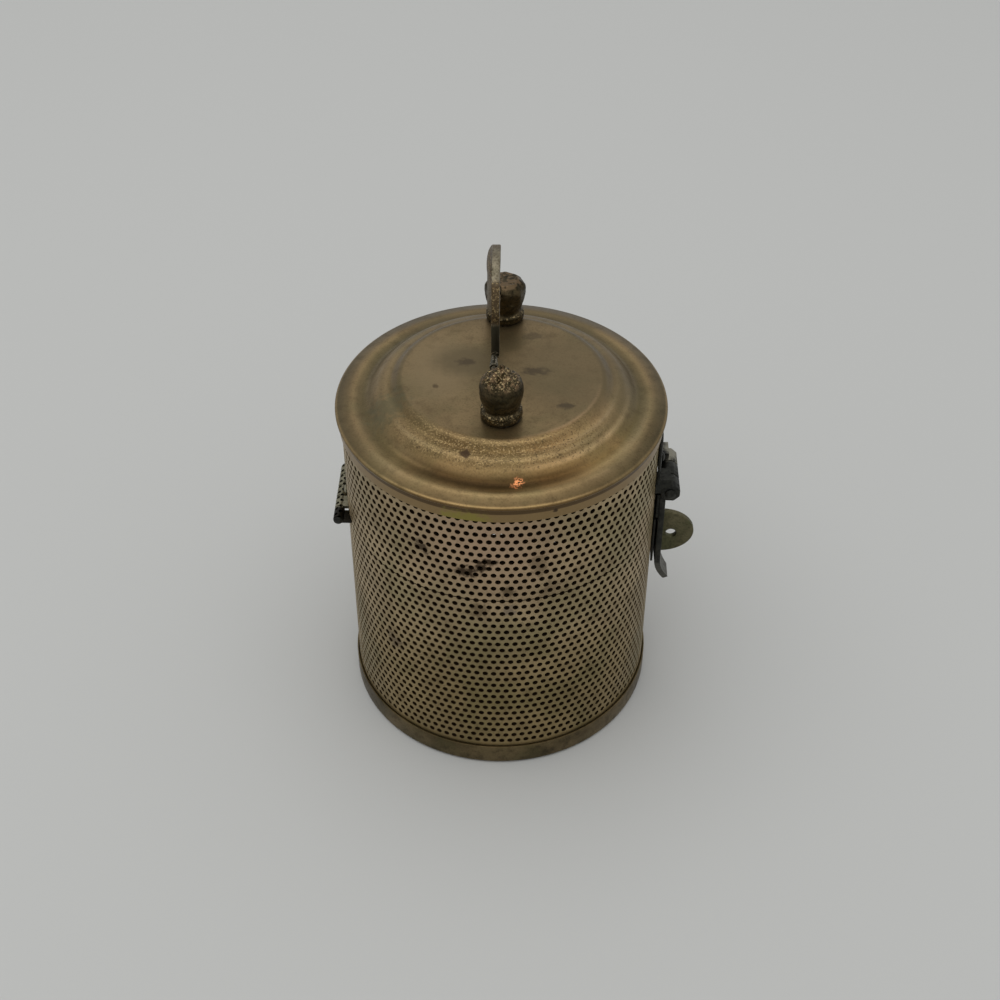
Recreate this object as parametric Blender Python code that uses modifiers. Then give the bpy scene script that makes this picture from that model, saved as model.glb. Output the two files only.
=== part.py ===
"""Round keepsake box of perforated brass with a hinged stepped lid, a bail handle and a hasp.

The box stands on z = 0 with its axis on Z. The hinge is on the -X side and the hasp on the +X side.
The handle swings about Y between its two knobs. All sizes are in metres.
"""

import math

import bmesh
import bpy
from mathutils import Matrix

MM = 0.001
FULL_TURN = 2 * math.pi
QUARTER_TURN = math.pi / 2

# Shell of the box
WALL_RADIUS = 38.7 * MM
WALL_SHEET = 0.6 * MM
SEAM_HEIGHT = 58.7 * MM
LID_HEIGHT = 30.3 * MM
SEAM_GAP = 0.3 * MM
SEAT_GAP = 0.2 * MM
WALL_TOP_DROP = 1.4 * MM
BAND_SHEET = 0.4 * MM

# Base pan
PAN_FLOOR = 0.6 * MM
PAN_BAND_HEIGHT = 6.2 * MM
PAN_EDGE_ROUND = 1.0 * MM

# Lid cap
RIM_OVERHANG = 1.3 * MM
RIM_BEAD = 1.1 * MM
DOME_RISE = 6.6 * MM
CAP_SHEET = 0.6 * MM
SKIRT_DEPTH = 4.8 * MM
# Each row is a radius as a share of the rim's and a height as a share of the dome's rise
DOME_SHARES = (
    (0.600, 1.000),
    (0.622, 0.962),
    (0.642, 0.860),
    (0.663, 0.760),
    (0.682, 0.725),
    (0.708, 0.690),
    (0.736, 0.615),
    (0.762, 0.470),
    (0.787, 0.310),
    (0.808, 0.190),
    (0.832, 0.132),
    (0.866, 0.136),
    (0.900, 0.160),
    (0.932, 0.124),
    (0.965, 0.062),
)

# Small round holes are drawn as a coarse grid of six-sided openings
GRID_COLUMNS = 20
GRID_ROWS_BODY = 4
GRID_ROWS_LID = 2
GRID_RADIUS = 3.2 * MM
GRID_MARGIN = 2.0 * MM

# Knobs
KNOB_X = 0.15 * MM
KNOB_MIDDLE_SHARE = 0.115
KNOB_SPACING_SHARE = 1.0
KNOB_RADIUS = 5.15 * MM
FRONT_KNOB_HEIGHT = 12.0 * MM
REAR_KNOB_HEIGHT = 11.0 * MM
FINIAL_HEIGHT = 2.6 * MM
# Each row is a radius as a share of the knob's and a height as a share of the knob's height
FRONT_KNOB_SHARES = (
    (0.540, 1.000),
    (0.800, 0.905),
    (0.930, 0.790),
    (1.000, 0.620),
    (0.965, 0.450),
    (0.880, 0.330),
    (0.820, 0.270),
    (0.850, 0.205),
    (0.950, 0.170),
    (0.950, 0.030),
    (0.910, 0.000),
)
REAR_KNOB_SHARES = (
    (0.620, 1.000),
    (0.860, 0.930),
    (0.965, 0.845),
    (1.000, 0.750),
    (0.960, 0.580),
    (0.880, 0.420),
    (0.800, 0.300),
    (0.830, 0.215),
    (0.930, 0.175),
    (0.930, 0.030),
    (0.890, 0.000),
)
FINIAL_SHARES = ((0.16, 1.0), (0.33, 0.55), (0.48, 0.18))
SHANK_RADIUS = 1.5 * MM
SHANK_DROP = 4.4 * MM
SHANK_CLEARANCE = 0.3 * MM
WASHER_RADIUS = 3.3 * MM
WASHER_SHEET = 0.5 * MM
NUT_RADIUS = 3.0 * MM
NUT_HEIGHT = 2.0 * MM

# Bail handle
BAIL_X = -1.7 * MM
BAIL_PIVOT_RISE = 9.5 * MM
BAIL_THICKNESS = 1.95 * MM
BAIL_BAR = 3.3 * MM
BAIL_ARCH_RADIUS = 10.3 * MM
BAIL_ARCH_RISE = 11.8 * MM
BAIL_LEG_RISE = 9.6 * MM
BAIL_FOOT_DROP = 0.6 * MM
BAIL_EDGE = 0.25 * MM
BAIL_PIN_RADIUS = 0.65 * MM
BAIL_BORE_RADIUS = 0.9 * MM
BAIL_PIN_REACH = 3.6 * MM
BAIL_BORE_DEPTH = 4.1 * MM

# Leaves and rivets
LEAF_SHEET = 0.7 * MM
RIVET_SHANK_RADIUS = 0.45 * MM
RIVET_HEAD_RADIUS = 1.1 * MM
RIVET_HEAD_HEIGHT = 0.55 * MM
RIVET_TAIL_RADIUS = 0.85 * MM
RIVET_TAIL_HEIGHT = 0.4 * MM
RIVET_HOLE_RADIUS = 0.7 * MM
FLUSH_HEAD_RADIUS = 0.8 * MM

# Hinge
HINGE_Y = -1.5 * MM
HINGE_LENGTH = 20.0 * MM
HINGE_KNUCKLES = 5
HINGE_KNUCKLE_GAP = 0.25 * MM
HINGE_KNUCKLE_RADIUS = 1.25 * MM
HINGE_PIN_RADIUS = 0.6 * MM
HINGE_LEAF_HEIGHT = 8.0 * MM
HINGE_RIVET_SPACING = 8.0 * MM
RIVET_PLACE_SHARE = 0.62

# Hasp
HASP_STAND_OFF = 3.2 * MM
HASP_AXIS_RISE = 6.8 * MM
HASP_LENGTH = 15.0 * MM
HASP_KNUCKLES = 3
HASP_KNUCKLE_GAP = 0.3 * MM
HASP_KNUCKLE_RADIUS = 2.6 * MM
HASP_PIN_RADIUS = 0.9 * MM
HASP_LEAF_DROP = 4.2 * MM
HASP_RIVET_DROP = 5.0 * MM
HASP_RIVET_SPACING = 9.0 * MM
STRAP_WIDTH = 10.0 * MM
STRAP_THICKNESS = 1.5 * MM
STRAP_STAND_OFF = 1.0 * MM
STRAP_CURL_DROP = 18.1 * MM
STRAP_CURL_RADIUS = 16.0 * MM
STRAP_CURL_DEGREES = 35.0
STRAP_TAIL_WIDTH = 4.4 * MM
STRAP_TAIL_DROP = 3.6 * MM
STRAP_EDGE = 0.2 * MM

# Staple
STAPLE_PLATE_SHEET = 0.6 * MM
STAPLE_PLATE_WIDTH = 8.4 * MM
STAPLE_PLATE_MARGIN = 0.4 * MM
STAPLE_RIVET_SPACING = 5.2 * MM
EYE_THICKNESS = 1.5 * MM
EYE_DROP = 12.2 * MM
EYE_HALF_HEIGHT = 6.85 * MM
EYE_REACH = 11.0 * MM
EYE_SHOULDER = 1.3 * MM
EYE_HOLE_RADIUS = 1.35 * MM
EYE_HOLE_REACH = 5.1 * MM
EYE_HOLE_DROP = 0.55 * MM
EYE_SLOT_CLEARANCE = 0.4 * MM
STRAP_SLOT_CLEARANCE = 1.3 * MM
TENON_HEIGHT = 6.0 * MM
TENON_CLEARANCE = 0.25 * MM
TENON_END = 0.5 * MM

# Facets and small allowances
WALL_STEPS = 60
KNOB_STEPS = 24
SMALL_STEPS = 12
BARREL_STEPS = 16
ARC_STEPS = 16
LEAF_STEPS = 8
OVERRUN = 1.0 * MM
BLOCK_OVERLAP = 0.3 * MM
WELD = 0.002 * MM
UNIT = 1.0
HEAD_GAP = 0.15 * MM
HEAD_THICKNESS = 0.5 * MM
SMOOTH_DEGREES = 35.0

# Places worked out from the sizes above
LEAF_INNER_RADIUS = WALL_RADIUS + SEAT_GAP
LEAF_OUTER_RADIUS = LEAF_INNER_RADIUS + LEAF_SHEET
HIDDEN_LEAF_RADIUS = WALL_RADIUS - WALL_SHEET - SEAT_GAP - LEAF_SHEET
RIM_RADIUS = WALL_RADIUS + RIM_OVERHANG
RIM_HEIGHT = SEAM_HEIGHT + LID_HEIGHT
WALL_TOP = RIM_HEIGHT - WALL_TOP_DROP
SKIRT_BOTTOM = RIM_HEIGHT - SKIRT_DEPTH
KNOB_MIDDLE_Y = RIM_RADIUS * KNOB_MIDDLE_SHARE
KNOB_SPACING = RIM_RADIUS * KNOB_SPACING_SHARE
HINGE_AXIS_X = -(WALL_RADIUS + HINGE_KNUCKLE_RADIUS + SEAT_GAP)
HASP_AXIS_X = WALL_RADIUS + HASP_STAND_OFF
HASP_AXIS_Z = SEAM_HEIGHT + HASP_AXIS_RISE
HASP_LEAF_TOP = SKIRT_BOTTOM - HASP_LEAF_DROP
HASP_RIVET_Z = HASP_LEAF_TOP - HASP_RIVET_DROP
STRAP_INNER_X = WALL_RADIUS + STRAP_STAND_OFF
STRAP_CURL_Z = SEAM_HEIGHT - STRAP_CURL_DROP
STRAP_TAIL_TOP = STRAP_CURL_Z - STRAP_TAIL_DROP
EYE_MIDDLE_Z = SEAM_HEIGHT - EYE_DROP
EYE_TIP_X = WALL_RADIUS + EYE_REACH
EYE_HOLE_X = WALL_RADIUS + EYE_HOLE_REACH
DISC_HEIGHT = RIM_HEIGHT + DOME_RISE
KNOB_SEAT = DISC_HEIGHT + SEAT_GAP
PIVOT_HEIGHT = KNOB_SEAT + BAIL_PIVOT_RISE


def clear_scene():
    for item in list(bpy.data.objects):
        bpy.data.objects.remove(item, do_unlink=True)


def new_collection(name):
    collection = bpy.data.collections.new(name)
    bpy.context.scene.collection.children.link(collection)
    return collection


def metal(name, colour, roughness, metallic=1.0):
    material = bpy.data.materials.new(name)
    material.use_nodes = True
    shader = material.node_tree.nodes["Principled BSDF"]
    shader.inputs["Base Color"].default_value = (*colour, 1.0)
    shader.inputs["Roughness"].default_value = roughness
    shader.inputs["Metallic"].default_value = metallic
    material.diffuse_color = (*colour, 1.0)
    return material


clear_scene()
BOX = new_collection("perforated_brass_box")
CUTTERS = new_collection("cutters")
AGED_BRASS = metal("aged_brass", (0.33, 0.26, 0.14), 0.42)
WORN_BRASS = metal("worn_brass", (0.42, 0.32, 0.16), 0.36)
DARK_BRASS = metal("dark_brass", (0.12, 0.11, 0.08), 0.55)
OLIVE_BRASS = metal("olive_brass", (0.24, 0.22, 0.12), 0.45)


def add_object(name, mesh, material=None):
    """Links a mesh as a part, or as a hidden cutter when it has no material."""
    item = bpy.data.objects.new(name, mesh)
    if material is None:
        CUTTERS.objects.link(item)
        item.hide_render = True
        item.display_type = "WIRE"
    else:
        BOX.objects.link(item)
        mesh.materials.append(material)
        mesh.shade_smooth()
        mesh.set_sharp_from_angle(angle=math.radians(SMOOTH_DEGREES))
    return item


def turned(name, outline, steps, material=None, matrix=None, closed=True):
    """Turns an outline of (radius, height) pairs, given down its outer side, about the local Z axis."""
    mesh = bpy.data.meshes.new(name)
    count = len(outline)
    edges = [(i, i + 1) for i in range(count - 1)]
    if closed:
        edges.append((count - 1, 0))
    mesh.from_pydata([(radius, 0, height) for radius, height in outline], edges, [])
    item = add_object(name, mesh, material)
    screw = item.modifiers.new("turn", "SCREW")
    screw.axis = "Z"
    screw.angle = FULL_TURN
    screw.steps = screw.render_steps = steps
    screw.use_merge_vertices = True
    screw.merge_threshold = WELD
    if matrix is not None:
        item.matrix_world = matrix
    return item


def plate(name, outlines, thickness, material=None, matrix=None):
    """Extrudes flat outlines about their own plane. An outline inside another is a hole in it."""
    curve = bpy.data.curves.new(name, "CURVE")
    curve.dimensions = "2D"
    curve.fill_mode = "BOTH"
    curve.extrude = thickness / 2
    curve.render_resolution_u = 0
    for outline in outlines:
        spline = curve.splines.new("POLY")
        spline.points.add(len(outline) - 1)
        for point, (u, v) in zip(spline.points, outline):
            point.co = (u, v, 0, 1)
        spline.use_cyclic_u = True
    drawn = bpy.data.objects.new(name + "_outline", curve)
    CUTTERS.objects.link(drawn)
    bpy.context.view_layer.update()
    evaluated = drawn.evaluated_get(bpy.context.evaluated_depsgraph_get())
    mesh = bpy.data.meshes.new_from_object(evaluated)
    mesh.name = name
    bpy.data.objects.remove(drawn, do_unlink=True)
    shape = bmesh.new()
    shape.from_mesh(mesh)
    bmesh.ops.remove_doubles(shape, verts=shape.verts, dist=WELD)
    bmesh.ops.recalc_face_normals(shape, faces=shape.faces)
    shape.to_mesh(mesh)
    shape.free()
    item = add_object(name, mesh, material)
    if matrix is not None:
        item.matrix_world = matrix
    return item


def rod(name, radius, length, matrix, material=None, steps=SMALL_STEPS):
    """A cylinder about the local Z axis, centred on the local origin."""
    mesh = bpy.data.meshes.new(name)
    shape = bmesh.new()
    bmesh.ops.create_cone(
        shape, cap_ends=True, segments=steps, radius1=radius, radius2=radius, depth=length
    )
    shape.to_mesh(mesh)
    shape.free()
    item = add_object(name, mesh, material)
    item.matrix_world = matrix
    return item


def block(name, low, high, material=None):
    """A box between two corners."""
    mesh = bpy.data.meshes.new(name)
    shape = bmesh.new()
    bmesh.ops.create_cube(shape, size=UNIT)
    size = [b - a for a, b in zip(low, high)]
    middle = [(a + b) / 2 for a, b in zip(low, high)]
    bmesh.ops.scale(shape, vec=size, verts=shape.verts)
    bmesh.ops.translate(shape, vec=middle, verts=shape.verts)
    shape.to_mesh(mesh)
    shape.free()
    return add_object(name, mesh, material)


def combine(item, other, operation):
    modifier = item.modifiers.new(other.name, "BOOLEAN")
    modifier.object = other
    modifier.operation = operation
    modifier.solver = "EXACT"


def cut(item, *tools):
    for tool in tools:
        combine(item, tool, "DIFFERENCE")


def join(item, *others):
    for other in others:
        combine(item, other, "UNION")


def soften(item, width):
    bevel = item.modifiers.new("edges", "BEVEL")
    bevel.width = width
    bevel.segments = 1
    bevel.limit_method = "ANGLE"
    bevel.angle_limit = math.radians(SMOOTH_DEGREES)


def upright_side(y=0.0):
    """Places an (x, z) outline in the XZ plane at y."""
    return Matrix.Translation((0, y, 0)) @ Matrix.Rotation(QUARTER_TURN, 4, "X")


def upright_front(x=0.0):
    """Places a (y, z) outline in the YZ plane at x."""
    turn = Matrix(((0, 0, 1, 0), (1, 0, 0, 0), (0, 1, 0, 0), (0, 0, 0, 1)))
    return Matrix.Translation((x, 0, 0)) @ turn


def along_y(x, y, z):
    """Lays the local Z axis along Y at a point."""
    return Matrix.Translation((x, y, z)) @ Matrix.Rotation(QUARTER_TURN, 4, "X")


def radial(azimuth, radius, height):
    """Points the local Z axis outwards at a place on the wall."""
    return (
        Matrix.Rotation(azimuth, 4, "Z")
        @ Matrix.Translation((radius, 0, height))
        @ Matrix.Rotation(QUARTER_TURN, 4, "Y")
    )


def arc(centre, radius, start, end, steps):
    """Points on an arc between two angles, both ends included."""
    turn = (end - start) / steps
    return [
        (
            centre[0] + radius * math.cos(start + i * turn),
            centre[1] + radius * math.sin(start + i * turn),
        )
        for i in range(steps + 1)
    ]


def azimuth_at(y, side, radius=WALL_RADIUS):
    """Azimuth of a place on the wall at a given y, on the +X side (1) or the -X side (-1)."""
    angle = math.asin(y / radius)
    return angle if side > 0 else math.pi - angle


def tube_outline(radius, thickness, low, high):
    inner = radius - thickness
    return [(radius, high), (radius, low), (inner, low), (inner, high)]


def drill(name, azimuth, height):
    """A cutter for a rivet hole through the leaf and the wall."""
    reach = LEAF_SHEET + WALL_SHEET + SEAT_GAP + OVERRUN
    return rod(name, RIVET_HOLE_RADIUS, reach * 2, radial(azimuth, WALL_RADIUS, height))


def countersink(name, azimuth, height):
    """A cutter for the seat of a flush rivet in the staple's plate."""
    face = LEAF_INNER_RADIUS + STAPLE_PLATE_SHEET
    rim = FLUSH_HEAD_RADIUS + SEAT_GAP
    outline = [(0, OVERRUN), (rim, OVERRUN), (rim, 0)]
    outline += [(RIVET_HOLE_RADIUS, -STAPLE_PLATE_SHEET), (RIVET_HOLE_RADIUS, -OVERRUN)]
    outline += [(0, -OVERRUN)]
    return turned(name, outline, SMALL_STEPS, None, radial(azimuth, face, height), closed=False)


def rivet_tail(inside):
    """The lower end of a rivet's outline, from the shank to the closed tail."""
    return [
        (RIVET_SHANK_RADIUS, inside),
        (RIVET_TAIL_RADIUS, inside),
        (RIVET_TAIL_RADIUS, inside - RIVET_TAIL_HEIGHT),
        (0, inside - RIVET_TAIL_HEIGHT),
    ]


def rivet(name, azimuth, height, outer_face, inner_face, material):
    """A rivet with a domed head outside, its shank through leaf and wall, and a closed tail inside."""
    seat = outer_face + HEAD_GAP
    flank = RIVET_HEAD_RADIUS * math.sin(QUARTER_TURN / 2)
    outline = [
        (0, RIVET_HEAD_HEIGHT),
        (flank, RIVET_HEAD_HEIGHT * math.sin(QUARTER_TURN / 2)),
        (RIVET_HEAD_RADIUS, 0),
        (RIVET_SHANK_RADIUS, 0),
        *rivet_tail(inner_face - HEAD_GAP - seat),
    ]
    place = radial(azimuth, seat, height)
    return turned(name, outline, SMALL_STEPS, material, place, closed=False)


def flush_rivet(name, azimuth, height, material):
    """A countersunk rivet level with the staple's plate, so that the strap can lie over it."""
    face = LEAF_INNER_RADIUS + STAPLE_PLATE_SHEET
    inside = WALL_RADIUS - WALL_SHEET - HEAD_GAP - face
    outline = [(0, 0), (FLUSH_HEAD_RADIUS, 0), (RIVET_SHANK_RADIUS, -STAPLE_PLATE_SHEET)]
    outline += rivet_tail(inside)
    place = radial(azimuth, face, height)
    return turned(name, outline, SMALL_STEPS, material, place, closed=False)


def leaf_outline(inner, sheet, low_y, high_y, side):
    """A curved leaf against the wall, seen from above."""
    start, end = azimuth_at(low_y, side, inner), azimuth_at(high_y, side, inner)
    outer_arc = arc((0, 0), inner + sheet, start, end, LEAF_STEPS)
    return outer_arc + arc((0, 0), inner, end, start, LEAF_STEPS)


def curved_leaf(name, inner, sheet, y_range, z_range, side, material):
    outline = leaf_outline(inner, sheet, *y_range, side)
    middle = (z_range[0] + z_range[1]) / 2
    place = Matrix.Translation((0, 0, middle))
    return plate(name, [outline], z_range[1] - z_range[0], material, place)


def knuckle_spans(middle, length, count, gap):
    """The y range of each knuckle along a barrel, from -Y to +Y."""
    pitch = (length + gap) / count
    start = middle - length / 2
    return [(start + i * pitch, start + (i + 1) * pitch - gap) for i in range(count)]


def half_barrel(name, axis, radius, middle_y, length, gaps, gap, web_z, leaf_inner):
    """A barrel along Y with a web to its leaf, cut away where the other leaf has its knuckles."""
    side = math.copysign(1, axis[0])
    barrel = rod(name, radius, length, along_y(axis[0], middle_y, axis[1]), steps=BARREL_STEPS)
    far_y = abs(middle_y) + length / 2
    web_inner = side * (math.sqrt(leaf_inner**2 - far_y**2) - OVERRUN)
    web_x = sorted((axis[0], web_inner))
    web_y = (middle_y - length / 2, middle_y + length / 2)
    web = block(name + "_web", (web_x[0], web_y[0], web_z[0]), (web_x[1], web_y[1], web_z[1]))
    clearance = rod(
        name + "_wall",
        leaf_inner + BLOCK_OVERLAP,
        RIM_HEIGHT,
        Matrix.Translation((0, 0, RIM_HEIGHT / 2)),
        steps=WALL_STEPS,
    )
    join(barrel, web)
    cut(barrel, clearance)
    reach = side * (radius + OVERRUN)
    for i, (low, high) in enumerate(gaps):
        slot_x = sorted((axis[0] + reach, 0))
        slot = block(
            f"{name}_slot_{i}",
            (slot_x[0], low - gap, axis[1] - radius - OVERRUN - abs(web_z[1] - web_z[0])),
            (slot_x[1], high + gap, axis[1] + radius + OVERRUN + abs(web_z[1] - web_z[0])),
        )
        cut(barrel, slot)
    return barrel


def headed_pin(name, radius, length, matrix, material):
    """A pin whose ends are peened over just outside the barrel."""
    half = length / 2 + HEAD_GAP
    head = radius + HEAD_THICKNESS
    tip = half + HEAD_THICKNESS
    outline = [(0, tip), (radius, tip), (head, half), (radius, half)]
    outline += [(r, -z) for r, z in reversed(outline)]
    return turned(name, outline, SMALL_STEPS, material, matrix, closed=False)


def ride(items, pivot_name, place):
    """Hangs moving pieces from an empty on their joint's axis."""
    pivot = bpy.data.objects.new(pivot_name, None)
    BOX.objects.link(pivot)
    pivot.matrix_world = Matrix.Translation(place)
    for item in items:
        item.parent = pivot
        item.matrix_parent_inverse = pivot.matrix_world.inverted()
    return pivot


def build_base_pan():
    """A disc with a turned-up band that takes the foot of the wall."""
    inner = WALL_RADIUS + SEAT_GAP
    outer = inner + BAND_SHEET
    corner = (outer - PAN_EDGE_ROUND, PAN_EDGE_ROUND)
    rounded = arc(corner, PAN_EDGE_ROUND, 0, -QUARTER_TURN, LEAF_STEPS // 2)
    outline = [(0, PAN_FLOOR), (inner, PAN_FLOOR), (inner, PAN_BAND_HEIGHT)]
    outline += [(outer, PAN_BAND_HEIGHT), *rounded, (0, 0)]
    return turned("base_pan", outline, WALL_STEPS, AGED_BRASS, closed=False)


def plain_zones():
    """The places on the walls that carry leaves, as azimuth, half angle, low and high."""
    hinge = math.asin((HINGE_LENGTH / 2 + abs(HINGE_Y)) / WALL_RADIUS)
    hasp = math.asin(HASP_LENGTH / 2 / WALL_RADIUS)
    staple = math.asin(STAPLE_PLATE_WIDTH / 2 / WALL_RADIUS)
    rise = EYE_HALF_HEIGHT + STAPLE_PLATE_MARGIN
    return (
        (math.pi, hinge, SEAM_HEIGHT - HINGE_LEAF_HEIGHT, SEAM_HEIGHT + HINGE_LEAF_HEIGHT),
        (0, hasp, HASP_AXIS_Z - HASP_KNUCKLE_RADIUS, HASP_LEAF_TOP),
        (0, staple, EYE_MIDDLE_Z - rise, EYE_MIDDLE_Z + rise),
    )


def is_plain(azimuth, height):
    """Whether an opening at this place would come under a leaf."""
    reach = GRID_RADIUS + SEAT_GAP
    for middle, half, low, high in plain_zones():
        turn = abs(math.remainder(azimuth - middle, FULL_TURN))
        if turn < half + reach / WALL_RADIUS and low - reach < height < high + reach:
            return True
    return False


def grid_cutter(name, low, high, rows):
    """Six-sided bars through the wall, in even rows between two heights."""
    mesh = bpy.data.meshes.new(name)
    shape = bmesh.new()
    first = low + GRID_MARGIN + GRID_RADIUS
    pitch = (high - GRID_MARGIN - GRID_RADIUS - first) / (rows - 1)
    facet = FULL_TURN / WALL_STEPS
    for row in range(rows):
        for column in range(GRID_COLUMNS):
            azimuth = facet / 2 + column * FULL_TURN / GRID_COLUMNS
            height = first + row * pitch
            if is_plain(azimuth, height):
                continue
            bmesh.ops.create_cone(
                shape,
                cap_ends=True,
                segments=6,
                radius1=GRID_RADIUS,
                radius2=GRID_RADIUS,
                depth=(WALL_SHEET + OVERRUN) * 2,
                matrix=radial(azimuth, WALL_RADIUS, height),
            )
    shape.to_mesh(mesh)
    shape.free()
    return add_object(name, mesh)


def build_wall(name, low, high, grid_low, grid_high, rows):
    outline = tube_outline(WALL_RADIUS, WALL_SHEET, low, high)
    wall = turned(name, outline, WALL_STEPS, AGED_BRASS)
    cut(wall, grid_cutter(name + "_grid", grid_low, grid_high, rows))
    return wall


def inside_height(radius):
    """Height of the cap's under side at a radius."""
    rows = [(r * RIM_RADIUS, RIM_HEIGHT + h * DOME_RISE - CAP_SHEET) for r, h in DOME_SHARES[::2]]
    if radius <= rows[0][0]:
        return rows[0][1]
    for (r0, z0), (r1, z1) in zip(rows, rows[1:]):
        if radius <= r1:
            return z0 + (z1 - z0) * (radius - r0) / (r1 - r0)
    return rows[-1][1]


def cap_outline():
    """The stamped cap from its centre over the dome, the beaded rim and the skirt, and back inside."""
    inner = WALL_RADIUS + SEAT_GAP
    skirt = inner + BAND_SHEET
    dome = [(r * RIM_RADIUS, RIM_HEIGHT + h * DOME_RISE) for r, h in DOME_SHARES]
    bead_radius = RIM_BEAD / 2
    bead_centre = (RIM_RADIUS - bead_radius, RIM_HEIGHT - bead_radius)
    bead = arc(bead_centre, bead_radius, QUARTER_TURN, -QUARTER_TURN, LEAF_STEPS // 2)
    outside = [(0, DISC_HEIGHT), *dome, *bead, (skirt, RIM_HEIGHT - RIM_BEAD)]
    inside = [(r, h - CAP_SHEET) for r, h in reversed(dome[::2])]
    under_rim = WALL_TOP + SEAT_GAP
    outside += [(skirt, SKIRT_BOTTOM), (inner, SKIRT_BOTTOM), (inner, under_rim)]
    return [*outside, *inside, (0, DISC_HEIGHT - CAP_SHEET)]


def build_lid_cap():
    cap = turned("lid_cap", cap_outline(), WALL_STEPS, WORN_BRASS, closed=False)
    for end, y in knob_places():
        place = Matrix.Translation((KNOB_X, y, DISC_HEIGHT))
        radius = SHANK_RADIUS + SHANK_CLEARANCE
        cut(cap, rod(f"{end}_shank_hole", radius, SHANK_DROP * 2, place, steps=SMALL_STEPS))
    return cap


def knob_places():
    half = KNOB_SPACING / 2
    return (("front", KNOB_MIDDLE_Y - half), ("rear", KNOB_MIDDLE_Y + half))


def fixing_drop(y):
    """How far below the disc the washer sits. The rear one bears on the slope beside the disc."""
    return DISC_HEIGHT - CAP_SHEET - inside_height(abs(y) + WASHER_RADIUS)


def build_knob(end, y, peaked):
    """A turned knob on a threaded shank, bored on its inner side for the handle's pin."""
    drop = SHANK_DROP + fixing_drop(y)
    shares = FRONT_KNOB_SHARES if peaked else REAR_KNOB_SHARES
    top = FRONT_KNOB_HEIGHT if peaked else REAR_KNOB_HEIGHT
    outline = [(r * KNOB_RADIUS, h * top) for r, h in shares]
    if peaked:
        peak = [(r * KNOB_RADIUS, top + h * FINIAL_HEIGHT) for r, h in FINIAL_SHARES]
        outline = [(0, top + FINIAL_HEIGHT), *peak, *outline]
    else:
        outline = [(0, top), *outline]
    outline += [(SHANK_RADIUS, 0), (SHANK_RADIUS, -drop), (0, -drop)]
    place = Matrix.Translation((KNOB_X, y, KNOB_SEAT))
    knob = turned(f"{end}_knob", outline, KNOB_STEPS, WORN_BRASS, place, closed=False)
    inward = math.copysign(1, KNOB_MIDDLE_Y - y)
    mouth = y + inward * (KNOB_RADIUS + OVERRUN)
    floor = y + inward * (KNOB_RADIUS - BAIL_BORE_DEPTH)
    bore_place = along_y(BAIL_X, (mouth + floor) / 2, PIVOT_HEIGHT)
    cut(knob, rod(f"{end}_bore", BAIL_BORE_RADIUS, abs(mouth - floor), bore_place))
    return knob


def build_knob_fixings(end, y):
    """The washer and the hexagon nut under the cap."""
    under = DISC_HEIGHT - CAP_SHEET - SEAT_GAP - fixing_drop(y)
    bore = SHANK_RADIUS + SEAT_GAP
    ring = tube_outline(WASHER_RADIUS, WASHER_RADIUS - bore, under - WASHER_SHEET, under)
    place = Matrix.Translation((KNOB_X, y, 0))
    washer = turned(f"{end}_knob_washer", ring, KNOB_STEPS, AGED_BRASS, place)
    hexagon = arc((0, 0), NUT_RADIUS, 0, FULL_TURN, 6)[:-1]
    hole = arc((0, 0), bore, 0, FULL_TURN, SMALL_STEPS)[:-1]
    top = under - WASHER_SHEET - SEAT_GAP
    nut_place = Matrix.Translation((KNOB_X, y, top - NUT_HEIGHT / 2))
    nut = plate(f"{end}_knob_nut", [hexagon, hole], NUT_HEIGHT, AGED_BRASS, nut_place)
    return [washer, nut]


def bail_outline(offset):
    """One side of the bail's (y, z) outline, a given distance inside its outer edge."""
    radius = BAIL_ARCH_RADIUS - offset
    centre = (KNOB_MIDDLE_Y, PIVOT_HEIGHT + BAIL_ARCH_RISE)
    dip = math.asin((BAIL_ARCH_RISE - BAIL_LEG_RISE) / radius)
    arch = arc(centre, radius, -dip, math.pi + dip, ARC_STEPS)
    foot = PIVOT_HEIGHT - BAIL_FOOT_DROP
    return [(arch[0][0], foot), *arch, (arch[-1][0], foot)]


def build_bail():
    """A flat arch whose feet carry round pins that turn in the knobs."""
    outline = bail_outline(0) + bail_outline(BAIL_BAR)[::-1]
    bail = plate("bail_handle", [outline], BAIL_THICKNESS, DARK_BRASS, upright_front(BAIL_X))
    soften(bail, BAIL_EDGE)
    leg = bail_outline(0)[0][0] - KNOB_MIDDLE_Y
    for end, y in knob_places():
        inward = math.copysign(1, KNOB_MIDDLE_Y - y)
        start = KNOB_MIDDLE_Y - inward * (leg - BAIL_BAR / 2)
        stop = y + inward * (KNOB_RADIUS - BAIL_PIN_REACH)
        place = along_y(BAIL_X, (start + stop) / 2, PIVOT_HEIGHT)
        join(bail, rod(f"{end}_bail_pin", BAIL_PIN_RADIUS, abs(start - stop), place))
    return bail


def cut_notches(wall, part, spans, web_z):
    """Lets a leaf's knuckles through the edge of the wall at the seam."""
    up = 1 if part == "lid" else -1
    far = (web_z[1] if part == "lid" else web_z[0]) + up * SEAT_GAP
    z_range = sorted((far, SEAM_HEIGHT - up * OVERRUN))
    deep = HIDDEN_LEAF_RADIUS - OVERRUN * 2
    for i, (low, high) in enumerate(spans):
        near = (-WALL_RADIUS - OVERRUN, low - SEAT_GAP, z_range[0])
        cut(wall, block(f"hinge_notch_{part}_{i}", near, (-deep, high + SEAT_GAP, z_range[1])))


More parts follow.
